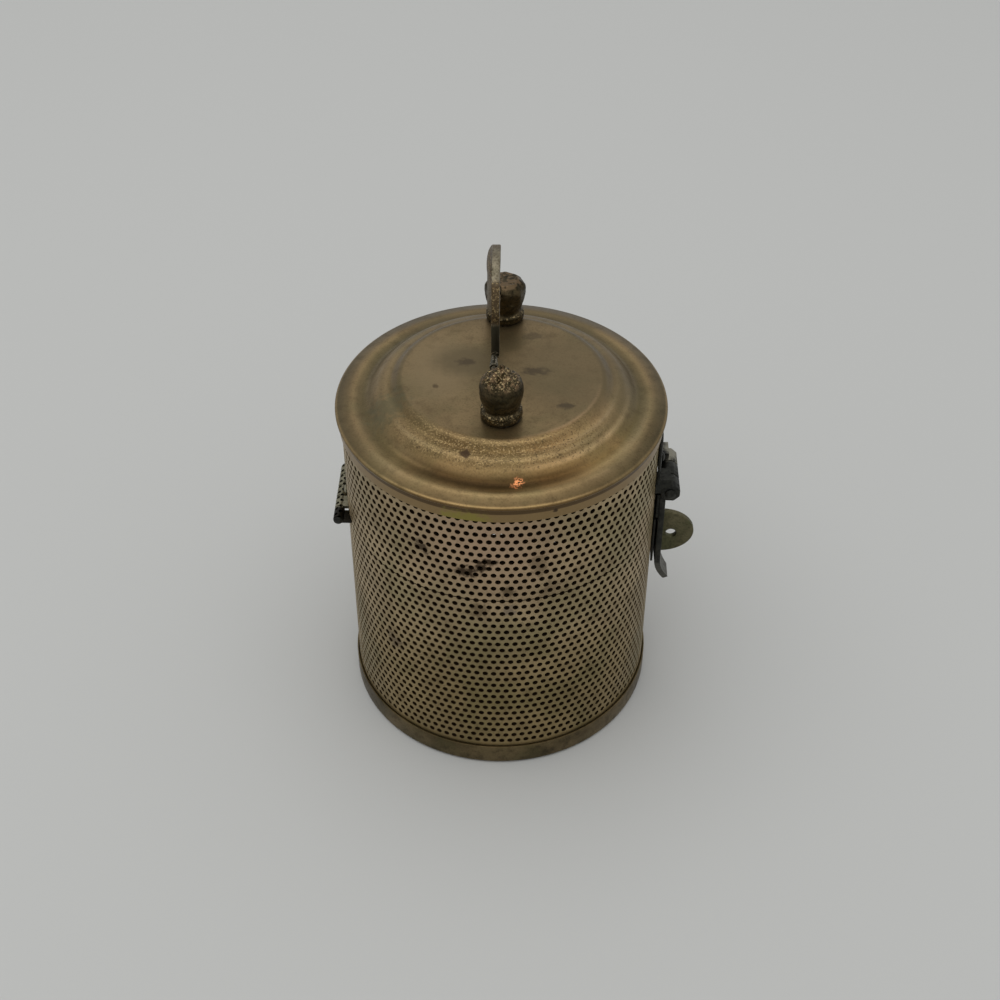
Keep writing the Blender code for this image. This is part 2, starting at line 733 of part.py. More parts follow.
def build_hinge(body_wall, lid_wall):
    """Two leaves inside the walls with alternate knuckles outside, their pin and four rivets."""
    axis = (HINGE_AXIS_X, SEAM_HEIGHT)
    spans = knuckle_spans(HINGE_Y, HINGE_LENGTH, HINGE_KNUCKLES, HINGE_KNUCKLE_GAP)
    y_range = (HINGE_Y - HINGE_LENGTH / 2, HINGE_Y + HINGE_LENGTH / 2)
    gap = SEAM_GAP / 2
    bore = rod(
        "hinge_bore",
        HINGE_PIN_RADIUS + SEAT_GAP,
        HINGE_LENGTH + OVERRUN,
        along_y(axis[0], HINGE_Y, axis[1]),
    )
    made = {}
    for part, up, wall in (("body", -1, body_wall), ("lid", 1, lid_wall)):
        near = SEAM_HEIGHT + up * gap
        far = near + up * HINGE_LEAF_HEIGHT
        own = spans[::2] if part == "body" else spans[1::2]
        others = [span for span in spans if span not in own]
        leaf = curved_leaf(
            f"hinge_leaf_{part}",
            HIDDEN_LEAF_RADIUS,
            LEAF_SHEET,
            y_range,
            sorted((near, far)),
            -1,
            AGED_BRASS,
        )
        web_z = sorted((near + up * gap, SEAM_HEIGHT + up * (HINGE_KNUCKLE_RADIUS - SEAT_GAP)))
        barrel = half_barrel(
            f"hinge_barrel_{part}",
            axis,
            HINGE_KNUCKLE_RADIUS,
            HINGE_Y,
            HINGE_LENGTH,
            others,
            HINGE_KNUCKLE_GAP,
            web_z,
            HIDDEN_LEAF_RADIUS,
        )
        join(leaf, barrel)
        cut(leaf, bore)
        cut_notches(wall, part, own, web_z)
        rivets = []
        for number, side in enumerate((-1, 1), start=1):
            azimuth = azimuth_at(HINGE_Y + side * HINGE_RIVET_SPACING / 2, -1)
            height = SEAM_HEIGHT + up * HINGE_LEAF_HEIGHT * RIVET_PLACE_SHARE
            hole = drill(f"hinge_{part}_hole_{number}", azimuth, height)
            cut(leaf, hole)
            cut(wall, hole)
            name = f"hinge_rivet_{part}_{number}"
            rivets.append(
                rivet(name, azimuth, height, WALL_RADIUS, HIDDEN_LEAF_RADIUS, AGED_BRASS)
            )
        made[part] = [leaf, *rivets]
    pin_place = along_y(axis[0], HINGE_Y, axis[1])
    pin = headed_pin("hinge_pin", HINGE_PIN_RADIUS, HINGE_LENGTH, pin_place, DARK_BRASS)
    made["body"].append(pin)
    return made


def strap_outline():
    """The strap's (x, z) side view from its web down to the finger curl."""
    outer_x = STRAP_INNER_X + STRAP_THICKNESS
    top = HASP_AXIS_Z - HASP_KNUCKLE_RADIUS - HASP_KNUCKLE_GAP
    centre = (STRAP_INNER_X + STRAP_THICKNESS / 2 + STRAP_CURL_RADIUS, STRAP_CURL_Z)
    sweep = math.radians(STRAP_CURL_DEGREES)
    inner = arc(
        centre, STRAP_CURL_RADIUS + STRAP_THICKNESS / 2, math.pi, math.pi + sweep, LEAF_STEPS
    )
    outer = arc(
        centre, STRAP_CURL_RADIUS - STRAP_THICKNESS / 2, math.pi + sweep, math.pi, LEAF_STEPS
    )
    return [(STRAP_INNER_X, top), *inner, *outer, (outer_x, top)]


def build_hasp(lid_wall):
    """The leaf riveted to the lid, the slotted strap that hangs from it, their pin and rivets."""
    axis = (HASP_AXIS_X, HASP_AXIS_Z)
    spans = knuckle_spans(0, HASP_LENGTH, HASP_KNUCKLES, HASP_KNUCKLE_GAP)
    leaf_bottom = HASP_AXIS_Z + HASP_KNUCKLE_RADIUS + HASP_KNUCKLE_GAP
    half = HASP_LENGTH / 2
    leaf = curved_leaf(
        "hasp_leaf",
        LEAF_INNER_RADIUS,
        LEAF_SHEET,
        (-half, half),
        (leaf_bottom, HASP_LEAF_TOP),
        1,
        DARK_BRASS,
    )
    leaf_barrel = half_barrel(
        "hasp_barrel_leaf",
        axis,
        HASP_KNUCKLE_RADIUS,
        0,
        HASP_LENGTH,
        spans[1::2],
        HASP_KNUCKLE_GAP,
        (HASP_AXIS_Z, leaf_bottom + LEAF_SHEET * 2),
        LEAF_INNER_RADIUS,
    )
    join(leaf, leaf_barrel)
    strap = plate("hasp_strap", [strap_outline()], STRAP_WIDTH, DARK_BRASS, upright_side())
    low, high = spans[1]
    knuckle = rod(
        "hasp_strap_knuckle",
        HASP_KNUCKLE_RADIUS,
        high - low,
        along_y(axis[0], (low + high) / 2, axis[1]),
        steps=BARREL_STEPS,
    )
    strap_top = HASP_AXIS_Z - HASP_KNUCKLE_RADIUS - HASP_KNUCKLE_GAP
    web = block(
        "hasp_strap_web",
        (STRAP_INNER_X + STRAP_EDGE, low, strap_top - OVERRUN),
        (STRAP_INNER_X + STRAP_THICKNESS - STRAP_EDGE, high, HASP_AXIS_Z),
    )
    slot = block(
        "hasp_strap_slot",
        (
            STRAP_INNER_X - OVERRUN,
            -EYE_THICKNESS / 2 - EYE_SLOT_CLEARANCE,
            EYE_MIDDLE_Z - EYE_HALF_HEIGHT - STRAP_SLOT_CLEARANCE,
        ),
        (
            STRAP_INNER_X + STRAP_THICKNESS + OVERRUN,
            EYE_THICKNESS / 2 + EYE_SLOT_CLEARANCE,
            EYE_MIDDLE_Z + EYE_HALF_HEIGHT + STRAP_SLOT_CLEARANCE,
        ),
    )
    bore = rod(
        "hasp_bore",
        HASP_PIN_RADIUS + SEAT_GAP,
        HASP_LENGTH + OVERRUN,
        along_y(axis[0], 0, axis[1]),
    )
    tail_end = STRAP_CURL_Z - STRAP_CURL_RADIUS
    for side in (-1, 1):
        corners = [(STRAP_WIDTH / 2, STRAP_TAIL_TOP), (STRAP_TAIL_WIDTH / 2, tail_end)]
        corners += [(STRAP_WIDTH, tail_end), (STRAP_WIDTH, STRAP_TAIL_TOP)]
        outline = [(side * y, z) for y, z in corners]
        place = upright_front(STRAP_INNER_X)
        cut(strap, plate(f"hasp_tail_{side}", [outline], STRAP_CURL_RADIUS, None, place))
    cut(strap, slot)
    join(strap, web, knuckle)
    cut(strap, bore)
    cut(leaf, bore)
    pin_place = along_y(axis[0], 0, axis[1])
    pin = headed_pin("hasp_pin", HASP_PIN_RADIUS, HASP_LENGTH, pin_place, DARK_BRASS)
    fixed = [leaf, pin]
    for number, side in enumerate((-1, 1), start=1):
        azimuth = azimuth_at(side * HASP_RIVET_SPACING / 2, 1)
        hole = drill(f"hasp_hole_{number}", azimuth, HASP_RIVET_Z)
        cut(leaf, hole)
        cut(lid_wall, hole)
        name = f"hasp_rivet_{number}"
        wall_inner = WALL_RADIUS - WALL_SHEET
        fixed.append(
            rivet(name, azimuth, HASP_RIVET_Z, LEAF_OUTER_RADIUS, wall_inner, DARK_BRASS)
        )
    return fixed, strap


def eye_outline():
    """The eye's (x, z) outline, a rounded D with a tenon that passes through the wall."""
    root = LEAF_INNER_RADIUS + STAPLE_PLATE_SHEET + SEAT_GAP
    centre_x = root + EYE_SHOULDER
    low, high = EYE_MIDDLE_Z - EYE_HALF_HEIGHT, EYE_MIDDLE_Z + EYE_HALF_HEIGHT
    stretch = (EYE_TIP_X - centre_x) / EYE_HALF_HEIGHT
    nose = arc((0, 0), EYE_HALF_HEIGHT, -QUARTER_TURN, QUARTER_TURN, ARC_STEPS)
    nose = [(centre_x + x * stretch, EYE_MIDDLE_Z + z) for x, z in nose]
    tip = WALL_RADIUS - WALL_SHEET - TENON_END
    tenon_low, tenon_high = EYE_MIDDLE_Z - TENON_HEIGHT / 2, EYE_MIDDLE_Z + TENON_HEIGHT / 2
    tenon = [(root, tenon_high), (tip, tenon_high), (tip, tenon_low), (root, tenon_low)]
    return [(root, low), *nose, (root, high), *tenon]


def build_staple(body_wall):
    """The backing plate on the body, the padlock eye that passes through it, and two rivets."""
    half = STAPLE_PLATE_WIDTH / 2
    reach = EYE_HALF_HEIGHT + STAPLE_PLATE_MARGIN
    plate_z = (EYE_MIDDLE_Z - reach, EYE_MIDDLE_Z + reach)
    backing = curved_leaf(
        "staple_plate",
        LEAF_INNER_RADIUS,
        STAPLE_PLATE_SHEET,
        (-half, half),
        plate_z,
        1,
        DARK_BRASS,
    )
    hole_middle = (EYE_HOLE_X, EYE_MIDDLE_Z - EYE_HOLE_DROP)
    hole = arc(hole_middle, EYE_HOLE_RADIUS, 0, FULL_TURN, SMALL_STEPS)[:-1]
    eye = plate(
        "staple_eye", [eye_outline(), hole], EYE_THICKNESS, OLIVE_BRASS, upright_side()
    )
    mortise_half = EYE_THICKNESS / 2 + TENON_CLEARANCE
    rise = TENON_HEIGHT / 2 + TENON_CLEARANCE
    mortise = block(
        "staple_mortise",
        (WALL_RADIUS - WALL_SHEET - OVERRUN, -mortise_half, EYE_MIDDLE_Z - rise),
        (LEAF_OUTER_RADIUS + OVERRUN, mortise_half, EYE_MIDDLE_Z + rise),
    )
    cut(backing, mortise)
    cut(body_wall, mortise)
    made = [backing, eye]
    for number, side in enumerate((-1, 1), start=1):
        azimuth = azimuth_at(side * STAPLE_RIVET_SPACING / 2, 1)
        cut(backing, countersink(f"staple_sink_{number}", azimuth, EYE_MIDDLE_Z))
        cut(body_wall, drill(f"staple_hole_{number}", azimuth, EYE_MIDDLE_Z))
        name = f"staple_rivet_{number}"
        made.append(flush_rivet(name, azimuth, EYE_MIDDLE_Z, DARK_BRASS))
    return made


def build_box():
    build_base_pan()
    body_low, body_high = PAN_FLOOR + SEAT_GAP, SEAM_HEIGHT - SEAM_GAP / 2
    body_wall = build_wall(
        "body_wall", body_low, body_high, PAN_BAND_HEIGHT, body_high, GRID_ROWS_BODY
    )
    lid_low = SEAM_HEIGHT + SEAM_GAP / 2
    lid_wall = build_wall("lid_wall", lid_low, WALL_TOP, lid_low, SKIRT_BOTTOM, GRID_ROWS_LID)
    lid_items = [lid_wall, build_lid_cap()]
    for end, y in knob_places():
        lid_items.append(build_knob(end, y, peaked=end == "front"))
        lid_items += build_knob_fixings(end, y)
    bail = build_bail()
    hinge = build_hinge(body_wall, lid_wall)
    hasp_fixed, strap = build_hasp(lid_wall)
    build_staple(body_wall)
    lid_axis = ride(
        lid_items + hinge["lid"] + hasp_fixed, "lid_axis", (HINGE_AXIS_X, HINGE_Y, SEAM_HEIGHT)
    )
    bail_axis = ride([bail], "bail_axis", (BAIL_X, KNOB_MIDDLE_Y, PIVOT_HEIGHT))
    hasp_axis = ride([strap], "hasp_axis", (HASP_AXIS_X, 0, HASP_AXIS_Z))
    bpy.context.view_layer.update()
    for pivot in (bail_axis, hasp_axis):
        pivot.parent = lid_axis
        pivot.matrix_parent_inverse = lid_axis.matrix_world.inverted()


build_box()
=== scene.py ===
"""Perforated brass keepsake box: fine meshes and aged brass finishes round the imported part.

The box stands on z = 0 with its axis on Z, the hinge on -X, the hasp on +X and the viewer on -Y.
Sizes are in metres unless a name or a docstring says mm, and angles are in radians unless a
name says degrees.
"""

from __future__ import annotations

import logging
import math
from dataclasses import dataclass
from enum import Enum

import bmesh
import bpy
from mathutils import Matrix, Vector, noise


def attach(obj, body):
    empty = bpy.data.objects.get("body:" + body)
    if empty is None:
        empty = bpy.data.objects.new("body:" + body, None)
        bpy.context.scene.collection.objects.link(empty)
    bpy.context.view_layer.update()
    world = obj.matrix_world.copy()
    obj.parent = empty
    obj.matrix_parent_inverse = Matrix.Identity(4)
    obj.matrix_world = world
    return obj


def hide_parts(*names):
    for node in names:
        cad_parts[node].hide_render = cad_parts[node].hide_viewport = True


LOG = logging.getLogger("perforated_box")
MM = 0.001
FULL_TURN = 2 * math.pi
QUARTER_TURN = math.pi / 2
WELD = 1e-6
SMOOTH_ANGLE = math.radians(32)
LEAF_ROUND = 0.12 * MM

Mesh = bmesh.types.BMesh
Item = bpy.types.Object
Material = bpy.types.Material
Finishes = dict[str, bpy.types.Material]
Point = tuple[float, float]
Colour = tuple[float, float, float]
Place = tuple[float, float, float]
Tones = tuple[tuple[float, float, float, float], ...]
Node = bpy.types.Node
Socket = bpy.types.NodeSocket


class End(Enum):
    """The two ends of the handle."""

    FRONT = "front"
    REAR = "rear"


class Tier(Enum):
    """The two halves of the box, named as their bodies are."""

    BODY = "body"
    LID = "lid"


class Axis(Enum):
    """Number of the coordinate that a belt of colour is measured along."""

    Y = 1
    Z = 2


@dataclass(frozen=True)
class Shell:
    """Sizes that several sub-assemblies share."""

    wall_radius: float = 38.7 * MM
    wall_sheet: float = 0.6 * MM
    seam: float = 58.7 * MM
    seam_gap: float = 0.3 * MM
    seat_gap: float = 0.2 * MM
    wall_top: float = 87.6 * MM
    wall_foot: float = 0.9 * MM
    band_outer: float = 39.3 * MM
    band_inner: float = 38.9 * MM
    rim_radius: float = 40.0 * MM
    rim_height: float = 89.0 * MM
    disc_height: float = 95.6 * MM
    knob_x: float = 0.15 * MM
    knob_middle: float = 4.6 * MM
    knob_half: float = 20.0 * MM
    knob_radius: float = 5.15 * MM
    knob_seat: float = 95.8 * MM
    bail_x: float = -1.7 * MM
    pivot_height: float = 105.3 * MM
    hidden_leaf: float = 37.2 * MM

    def knob_y(self, end: End) -> float:
        """Return the y of a knob's axis."""
        return self.knob_middle + (self.knob_half if end is End.REAR else -self.knob_half)


SHELL = Shell()


# Mesh helpers


def arc(centre: Point, radius: float, start: float, end: float, steps: int) -> list[Point]:
    """Give points on an arc, both ends included.

    Args:
        centre: Centre of the arc.
        radius: Radius of the arc.
        start: First angle.
        end: Last angle.
        steps: Number of chords.

    Returns:
        The points from start to end.
    """
    turn = (end - start) / steps
    angles = [start + i * turn for i in range(steps + 1)]
    return [(centre[0] + radius * math.cos(a), centre[1] + radius * math.sin(a)) for a in angles]


def smooth_line(points: list[Point], steps: int = 4) -> list[Point]:
    """Run a smooth curve through points.

    Args:
        points: Points that the curve passes through.
        steps: Pieces between two neighbouring points.

    Returns:
        Points along the curve.
    """
    ends = [points[0], *points, points[-1]]
    curve = []
    for corners in zip(ends, ends[1:], ends[2:], ends[3:]):
        for t in (i / steps for i in range(steps)):
            point = tuple(
                0.5
                * (
                    2 * b
                    + (c - a) * t
                    + (2 * a - 5 * b + 4 * c - d) * t * t
                    + (3 * b - a - 3 * c + d) * t * t * t
                )
                for a, b, c, d in zip(*corners)
            )
            curve.append(point)
    return [*curve, points[-1]]


def rounded(points: list[Point], radius: float, steps: int = 3) -> list[Point]:
    """Round the inner corners of an open outline.

    Args:
        points: Corners of the outline.
        radius: Distance from a corner at which its round starts, where the sides allow it.
        steps: Pieces in each round.

    Returns:
        The outline with rounds in place of its corners.
    """
    result = [points[0]]
    for last_corner, corner, next_corner in zip(points, points[1:], points[2:]):
        here = Vector(corner)
        before, after = Vector(last_corner) - here, Vector(next_corner) - here
        reach = min(radius, before.length * 0.45, after.length * 0.45)
        first = here + before.normalized() * reach
        last = here + after.normalized() * reach
        for t in (k / steps for k in range(steps + 1)):
            mixed = first * (1 - t) ** 2 + here * 2 * t * (1 - t) + last * t * t
            result.append((mixed.x, mixed.y))
    return [*result, points[-1]]


def lathe(outline: list[Point], steps: int, place: Matrix | None = None) -> Mesh:
    """Turn a (radius, height) outline about Z.

    Args:
        outline: Points of the outline, from the axis back to the axis.
        steps: Facets around.
        place: Frame that the turned form is put in.

    Returns:
        A closed mesh.
    """
    bm = bmesh.new()
    verts = [bm.verts.new((radius, 0, height)) for radius, height in outline]
    edges = [bm.edges.new(pair) for pair in zip(verts, verts[1:])]
    bmesh.ops.spin(
        bm,
        geom=verts + edges,
        cent=(0, 0, 0),
        axis=(0, 0, 1),
        angle=FULL_TURN,
        steps=steps,
        use_merge=True,
    )
    bmesh.ops.remove_doubles(bm, verts=bm.verts, dist=WELD)
    bmesh.ops.recalc_face_normals(bm, faces=bm.faces)
    if place is not None:
        bmesh.ops.transform(bm, matrix=place, verts=bm.verts)
    return bm


def slab(outline: list[Point], thickness: float, matrix: Matrix) -> Mesh:
    """Extrude a flat outline about its own plane.

    Args:
        outline: Corners of the outline in the local XY plane.
        thickness: Whole thickness along local Z.
        matrix: Place of the local frame.

    Returns:
        A closed mesh.
    """
    bm = bmesh.new()
    verts = [bm.verts.new((u, v, -thickness / 2)) for u, v in outline]
    raised = bmesh.ops.extrude_face_region(bm, geom=[bm.faces.new(verts)])["geom"]
    bmesh.ops.translate(bm, vec=(0, 0, thickness), verts=only_verts(raised))
    bmesh.ops.transform(bm, matrix=matrix, verts=bm.verts)
    bmesh.ops.recalc_face_normals(bm, faces=bm.faces)
    return bm


def tube(radius: float, length: float, matrix: Matrix, steps: int = 32) -> Mesh:
    """Make a solid rod about the local Z axis, centred on the local origin.

    Args:
        radius: Radius of the rod.
        length: Length of the rod.
        matrix: Place of the local frame.
        steps: Facets around.

    Returns:
        A closed mesh.
    """
    bm = bmesh.new()
    bmesh.ops.create_cone(
        bm, cap_ends=True, segments=steps, radius1=radius, radius2=radius, depth=length
    )
    bmesh.ops.transform(bm, matrix=matrix, verts=bm.verts)
    return bm


def box(low: Place, high: Place) -> Mesh:
    """Make a block between two corners.

    Args:
        low: Lowest corner.
        high: Highest corner.

    Returns:
        A closed mesh.
    """
    bm = bmesh.new()
    bmesh.ops.create_cube(bm, size=1)
    bmesh.ops.scale(bm, vec=[b - a for a, b in zip(low, high)], verts=bm.verts)
    bmesh.ops.translate(bm, vec=[(a + b) / 2 for a, b in zip(low, high)], verts=bm.verts)
    return bm


def only_verts(geom: list[object]) -> list[bmesh.types.BMVert]:
    """Pick the vertices out of an operator's result."""
    return [item for item in geom if isinstance(item, bmesh.types.BMVert)]


def whole(bm: Mesh) -> list[object]:
    """List all the geometry of a mesh."""
    return bm.verts[:] + bm.edges[:] + bm.faces[:]


def soften(bm: Mesh, width: float, degrees: float = 40) -> None:
    """Round the sharp edges of a mesh.

    Args:
        bm: The mesh.
        width: Width of the round.
        degrees: Least angle between faces for an edge to be rounded.
    """
    limit = math.radians(degrees)
    sharp = [e for e in bm.edges if len(e.link_faces) == 2 and e.calc_face_angle(0) > limit]
    bmesh.ops.bevel(
        bm,
        geom=sharp,
        offset=width,
        segments=2,
        profile=0.5,
        affect="EDGES",
        clamp_overlap=True,
        material=-1,
    )


def add_piece(name: str, bm: Mesh) -> Item:
    """Turn a finished bmesh into a smooth-shaded object at the origin.

    Args:
        name: Name of the piece.
        bm: The mesh, which is freed.

    Returns:
        The new object.
    """
    mesh = bpy.data.meshes.new(name)
    open_edges = sum(1 for edge in bm.edges if not edge.is_manifold)
    bm.to_mesh(mesh)
    bm.free()
    mesh.shade_smooth()
    mesh.set_sharp_from_angle(angle=SMOOTH_ANGLE)
    item = bpy.data.objects.new(name, mesh)
    bpy.context.scene.collection.objects.link(item)
    LOG.info("%s: %d faces, %d open edges", name, len(mesh.polygons), open_edges)
    return item


def shape(item: Item, cutter: Mesh, operation: str = "DIFFERENCE") -> None:
    """Cut or join a mesh into a piece for good.

    Args:
        item: The piece.
        cutter: The other mesh, which is freed.
        operation: DIFFERENCE or UNION.
    """
    mesh = bpy.data.meshes.new("tool")
    cutter.to_mesh(mesh)
    cutter.free()
    tool = bpy.data.objects.new("tool", mesh)
    bpy.context.scene.collection.objects.link(tool)
    modifier = item.modifiers.new("shape", "BOOLEAN")
    modifier.object = tool
    modifier.operation = operation
    modifier.solver = "EXACT"
    bpy.context.view_layer.update()
    shown = item.evaluated_get(bpy.context.evaluated_depsgraph_get())
    result = bpy.data.meshes.new_from_object(shown)
    item.modifiers.clear()
    old = item.data
    item.data = result
    result.name = item.name
    bpy.data.meshes.remove(old)
    bpy.data.objects.remove(tool, do_unlink=True)
    bpy.data.meshes.remove(mesh)
    result.shade_smooth()
    result.set_sharp_from_angle(angle=SMOOTH_ANGLE)


def along_y(x: float, y: float, z: float) -> Matrix:
    """Lay the local Z axis along Y at a point, which also stands an (x, z) outline up."""
    return Matrix.Translation((x, y, z)) @ Matrix.Rotation(QUARTER_TURN, 4, "X")


def azimuth_at(y: float, side: int) -> float:
    """Give the azimuth of a place on the wall at y, on the +X side (1) or the -X side (-1)."""
    angle = math.asin(y / SHELL.wall_radius)
    return angle if side > 0 else math.pi - angle


def on_wall(y: float, radius: float, z: float, side: int) -> Matrix:
    """Point the local Z axis outwards at a place on a wall of some radius."""
    return (
        Matrix.Rotation(azimuth_at(y, side), 4, "Z")
        @ Matrix.Translation((radius, 0, z))
        @ Matrix.Rotation(QUARTER_TURN, 4, "Y")
    )


def curved_plate(inner: float, sheet: float, y_range: Point, z_range: Point, side: int) -> Mesh:
    """Make a plate bent to the wall, with softened edges.

    Args:
        inner: Radius of its inner face.
        sheet: Thickness.
        y_range: Lowest and highest y.
        z_range: Lowest and highest z.
        side: 1 for the +X side and -1 for the -X side.

    Returns:
        A closed mesh.
    """
    start, end = azimuth_at(y_range[0], side), azimuth_at(y_range[1], side)
    outline = arc((0, 0), inner + sheet, start, end, 14) + arc((0, 0), inner, end, start, 14)
    middle = (z_range[0] + z_range[1]) / 2
    bm = slab(outline, z_range[1] - z_range[0], Matrix.Translation((0, 0, middle)))
    soften(bm, LEAF_ROUND)
    return bm


# Shader helpers


class Graph:
    """A node tree with short calls for the nodes that the finishes use."""

    def __init__(self, tree: bpy.types.NodeTree) -> None:
        """Keep the tree that nodes are added to."""
        self.tree = tree

    def add(self, kind: str) -> Node:
        """Add a shader node."""
        return self.tree.nodes.new(f"ShaderNode{kind}")

    def feed(self, socket: Socket, value: object) -> None:
        """Link a socket into another, or set its own value."""
        if isinstance(value, bpy.types.NodeSocket):
            self.tree.links.new(value, socket)
        elif isinstance(value, tuple) and len(value) == 3 and socket.type == "RGBA":
            socket.default_value = (*value, 1.0)
        else:
            socket.default_value = value

    def fill(self, node: Node, values: dict[str | int, object]) -> Node:
        """Feed several inputs of a node, and give the node back."""
        for key, value in values.items():
            self.feed(node.inputs[key], value)
        return node

    def noise(self, where: Socket, scale: object, detail: float, rough: float = 0.55) -> Socket:
        """Give a noise value between 0 and 1.

        Args:
            where: Vector socket.
            scale: Waves per metre, a number or a socket.
            detail: Octaves.
            rough: Share of each finer octave.

        Returns:
            The value socket.
        """
        values = {"Vector": where, "Scale": scale, "Detail": detail, "Roughness": rough}
        return self.fill(self.add("TexNoise"), values).outputs["Fac"]

    def maths(self, operation: str, a: object, b: object = 0.0) -> Socket:
        """Give the result of one sum.

        Args:
            operation: Name of the sum.
            a: First value.
            b: Second value.

        Returns:
            The result's socket.
        """
        node = self.add("Math")
        node.operation = operation
        return self.fill(node, {0: a, 1: b}).outputs[0]

    def times(self, product: object, *factors: object) -> Socket:
        """Multiply values, from the first to the last."""
        for factor in factors:
            product = self.maths("MULTIPLY", product, factor)
        return product

    def span(self, value: Socket, low: object, high: object) -> Socket:
        """Map low..high to 0..1, smoothly and held at its ends.

        Args:
            value: Value socket.
            low: Value that gives 0.
            high: Value that gives 1.

        Returns:
            The result's socket.
        """
        node = self.add("MapRange")
        node.interpolation_type = "SMOOTHSTEP"
        values = {"Value": value, "From Min": low, "From Max": high}
        return self.fill(node, values).outputs["Result"]

    def mix(self, amount: object, a: object, b: object, blend: str = "MIX") -> Socket:
        """Mix two colours.

        Args:
            amount: Share of the second.
            a: First colour.
            b: Second colour.
            blend: Blend mode.

        Returns:
            The colour socket.
        """
        node = self.add("Mix")
        node.data_type = "RGBA"
        node.blend_type = blend
        return self.fill(node, {"Factor": amount, 6: a, 7: b}).outputs[2]

    def ramp(self, value: Socket, tones: Tones) -> Socket:
        """Read a colour from a row of tones, each a share and a colour.

        Args:
            value: Share to look up.
            tones: Rows of share, red, green and blue.

        Returns:
            The result's socket.
        """
        node = self.add("ValToRGB")
        stops = node.color_ramp.elements
        for stop, (share, *colour) in zip((stops[0], stops[1]), (tones[0], tones[-1])):
            stop.position, stop.color = share, (*colour, 1)
        for share, *colour in tones[1:-1]:
            stops.new(share).color = (*colour, 1)
        return self.fill(node, {"Fac": value}).outputs["Color"]

    def axes(self, where: Socket) -> list[Socket]:
        """Split a vector into x, y and z."""
        return self.fill(self.add("SeparateXYZ"), {0: where}).outputs[:]

    def radius(self, where: Socket) -> Socket:
        """Give the distance from the box's axis."""
        x, y, _ = self.axes(where)
        return self.maths("SQRT", self.maths("ADD", self.times(x, x), self.times(y, y)))

    def vector_maths(self, operation: str, a: object, b: object) -> Node:
        """Add a vector sum and return its node.

        Args:
            operation: Name of the sum.
            a: First value.
            b: Second value.

        Returns:
            The node.
        """
        node = self.add("VectorMath")
        node.operation = operation
        return self.fill(node, {0: a, 1: b})

    def near(self, where: Socket, centre: Place, reach: float) -> Socket:
        """Give a mask that is 1 at a place and falls to 0 at a distance from it."""
        node = self.vector_maths("DISTANCE", where, centre)
        return self.span(node.outputs["Value"], reach, 0.0)

    def effect(self, name: str, values: dict[str, object]) -> Node:
        """Place a shared effect with its own values, and return its node.

        Args:
            name: Name of the node group.
            values: What each of its inputs gets.

        Returns:
            The node.
        """
        node = self.add("Group")
        node.node_tree = bpy.data.node_groups[name]
        return self.fill(node, values)

    def crumbs(self, where: Socket, scale: float, coverage: float) -> Socket:
        """Give a mask of fine grains."""
        values = {"where": where, "scale": scale, "coverage": coverage}
        return self.effect("speckle", values).outputs["Mask"]


TARNISH_COLOURS = ("body", "bright", "dark", "green")
TARNISH_NUMBERS = (
    "blotch_scale",
    "dark_amount",
    "green_amount",
    "grain_scale",
    "grain_amount",
    "smooth",
    "rough",
)


def effect_group(
    name: str, inputs: dict[str, str], outputs: dict[str, str]
) -> tuple[Graph, dict[str, Socket], Node]:
    """Start a shader node group.

    Args:
        name: Name of the group.
        inputs: Kind of each input by name: Vector, Color or Float.
        outputs: Kind of each output by name.

    Returns:
        The group's graph, its input sockets by name and its output node.
    """
    tree = bpy.data.node_groups.new(name, "ShaderNodeTree")
    for way, sockets in (("INPUT", inputs), ("OUTPUT", outputs)):
        for label, kind in sockets.items():
            tree.interface.new_socket(label, in_out=way, socket_type=f"NodeSocket{kind}")
    entry = tree.nodes.new("NodeGroupInput")
    leave = tree.nodes.new("NodeGroupOutput")
    return Graph(tree), {socket.name: socket for socket in entry.outputs}, leave


def build_speckle_group() -> None:
    """Make the group for fine grains: bright bare crumbs of metal in dull tarnish."""
    inputs = {"where": "Vector", "scale": "Float", "coverage": "Float"}
    graph, given, leave = effect_group("speckle", inputs, {"Mask": "Float"})
    grain = graph.noise(given["where"], given["scale"], 2, 0.6)
    level = graph.maths("SUBTRACT", 0.72, graph.times(given["coverage"], 0.4))
    graph.fill(leave, {"Mask": graph.span(grain, level, graph.maths("ADD", level, 0.10))})


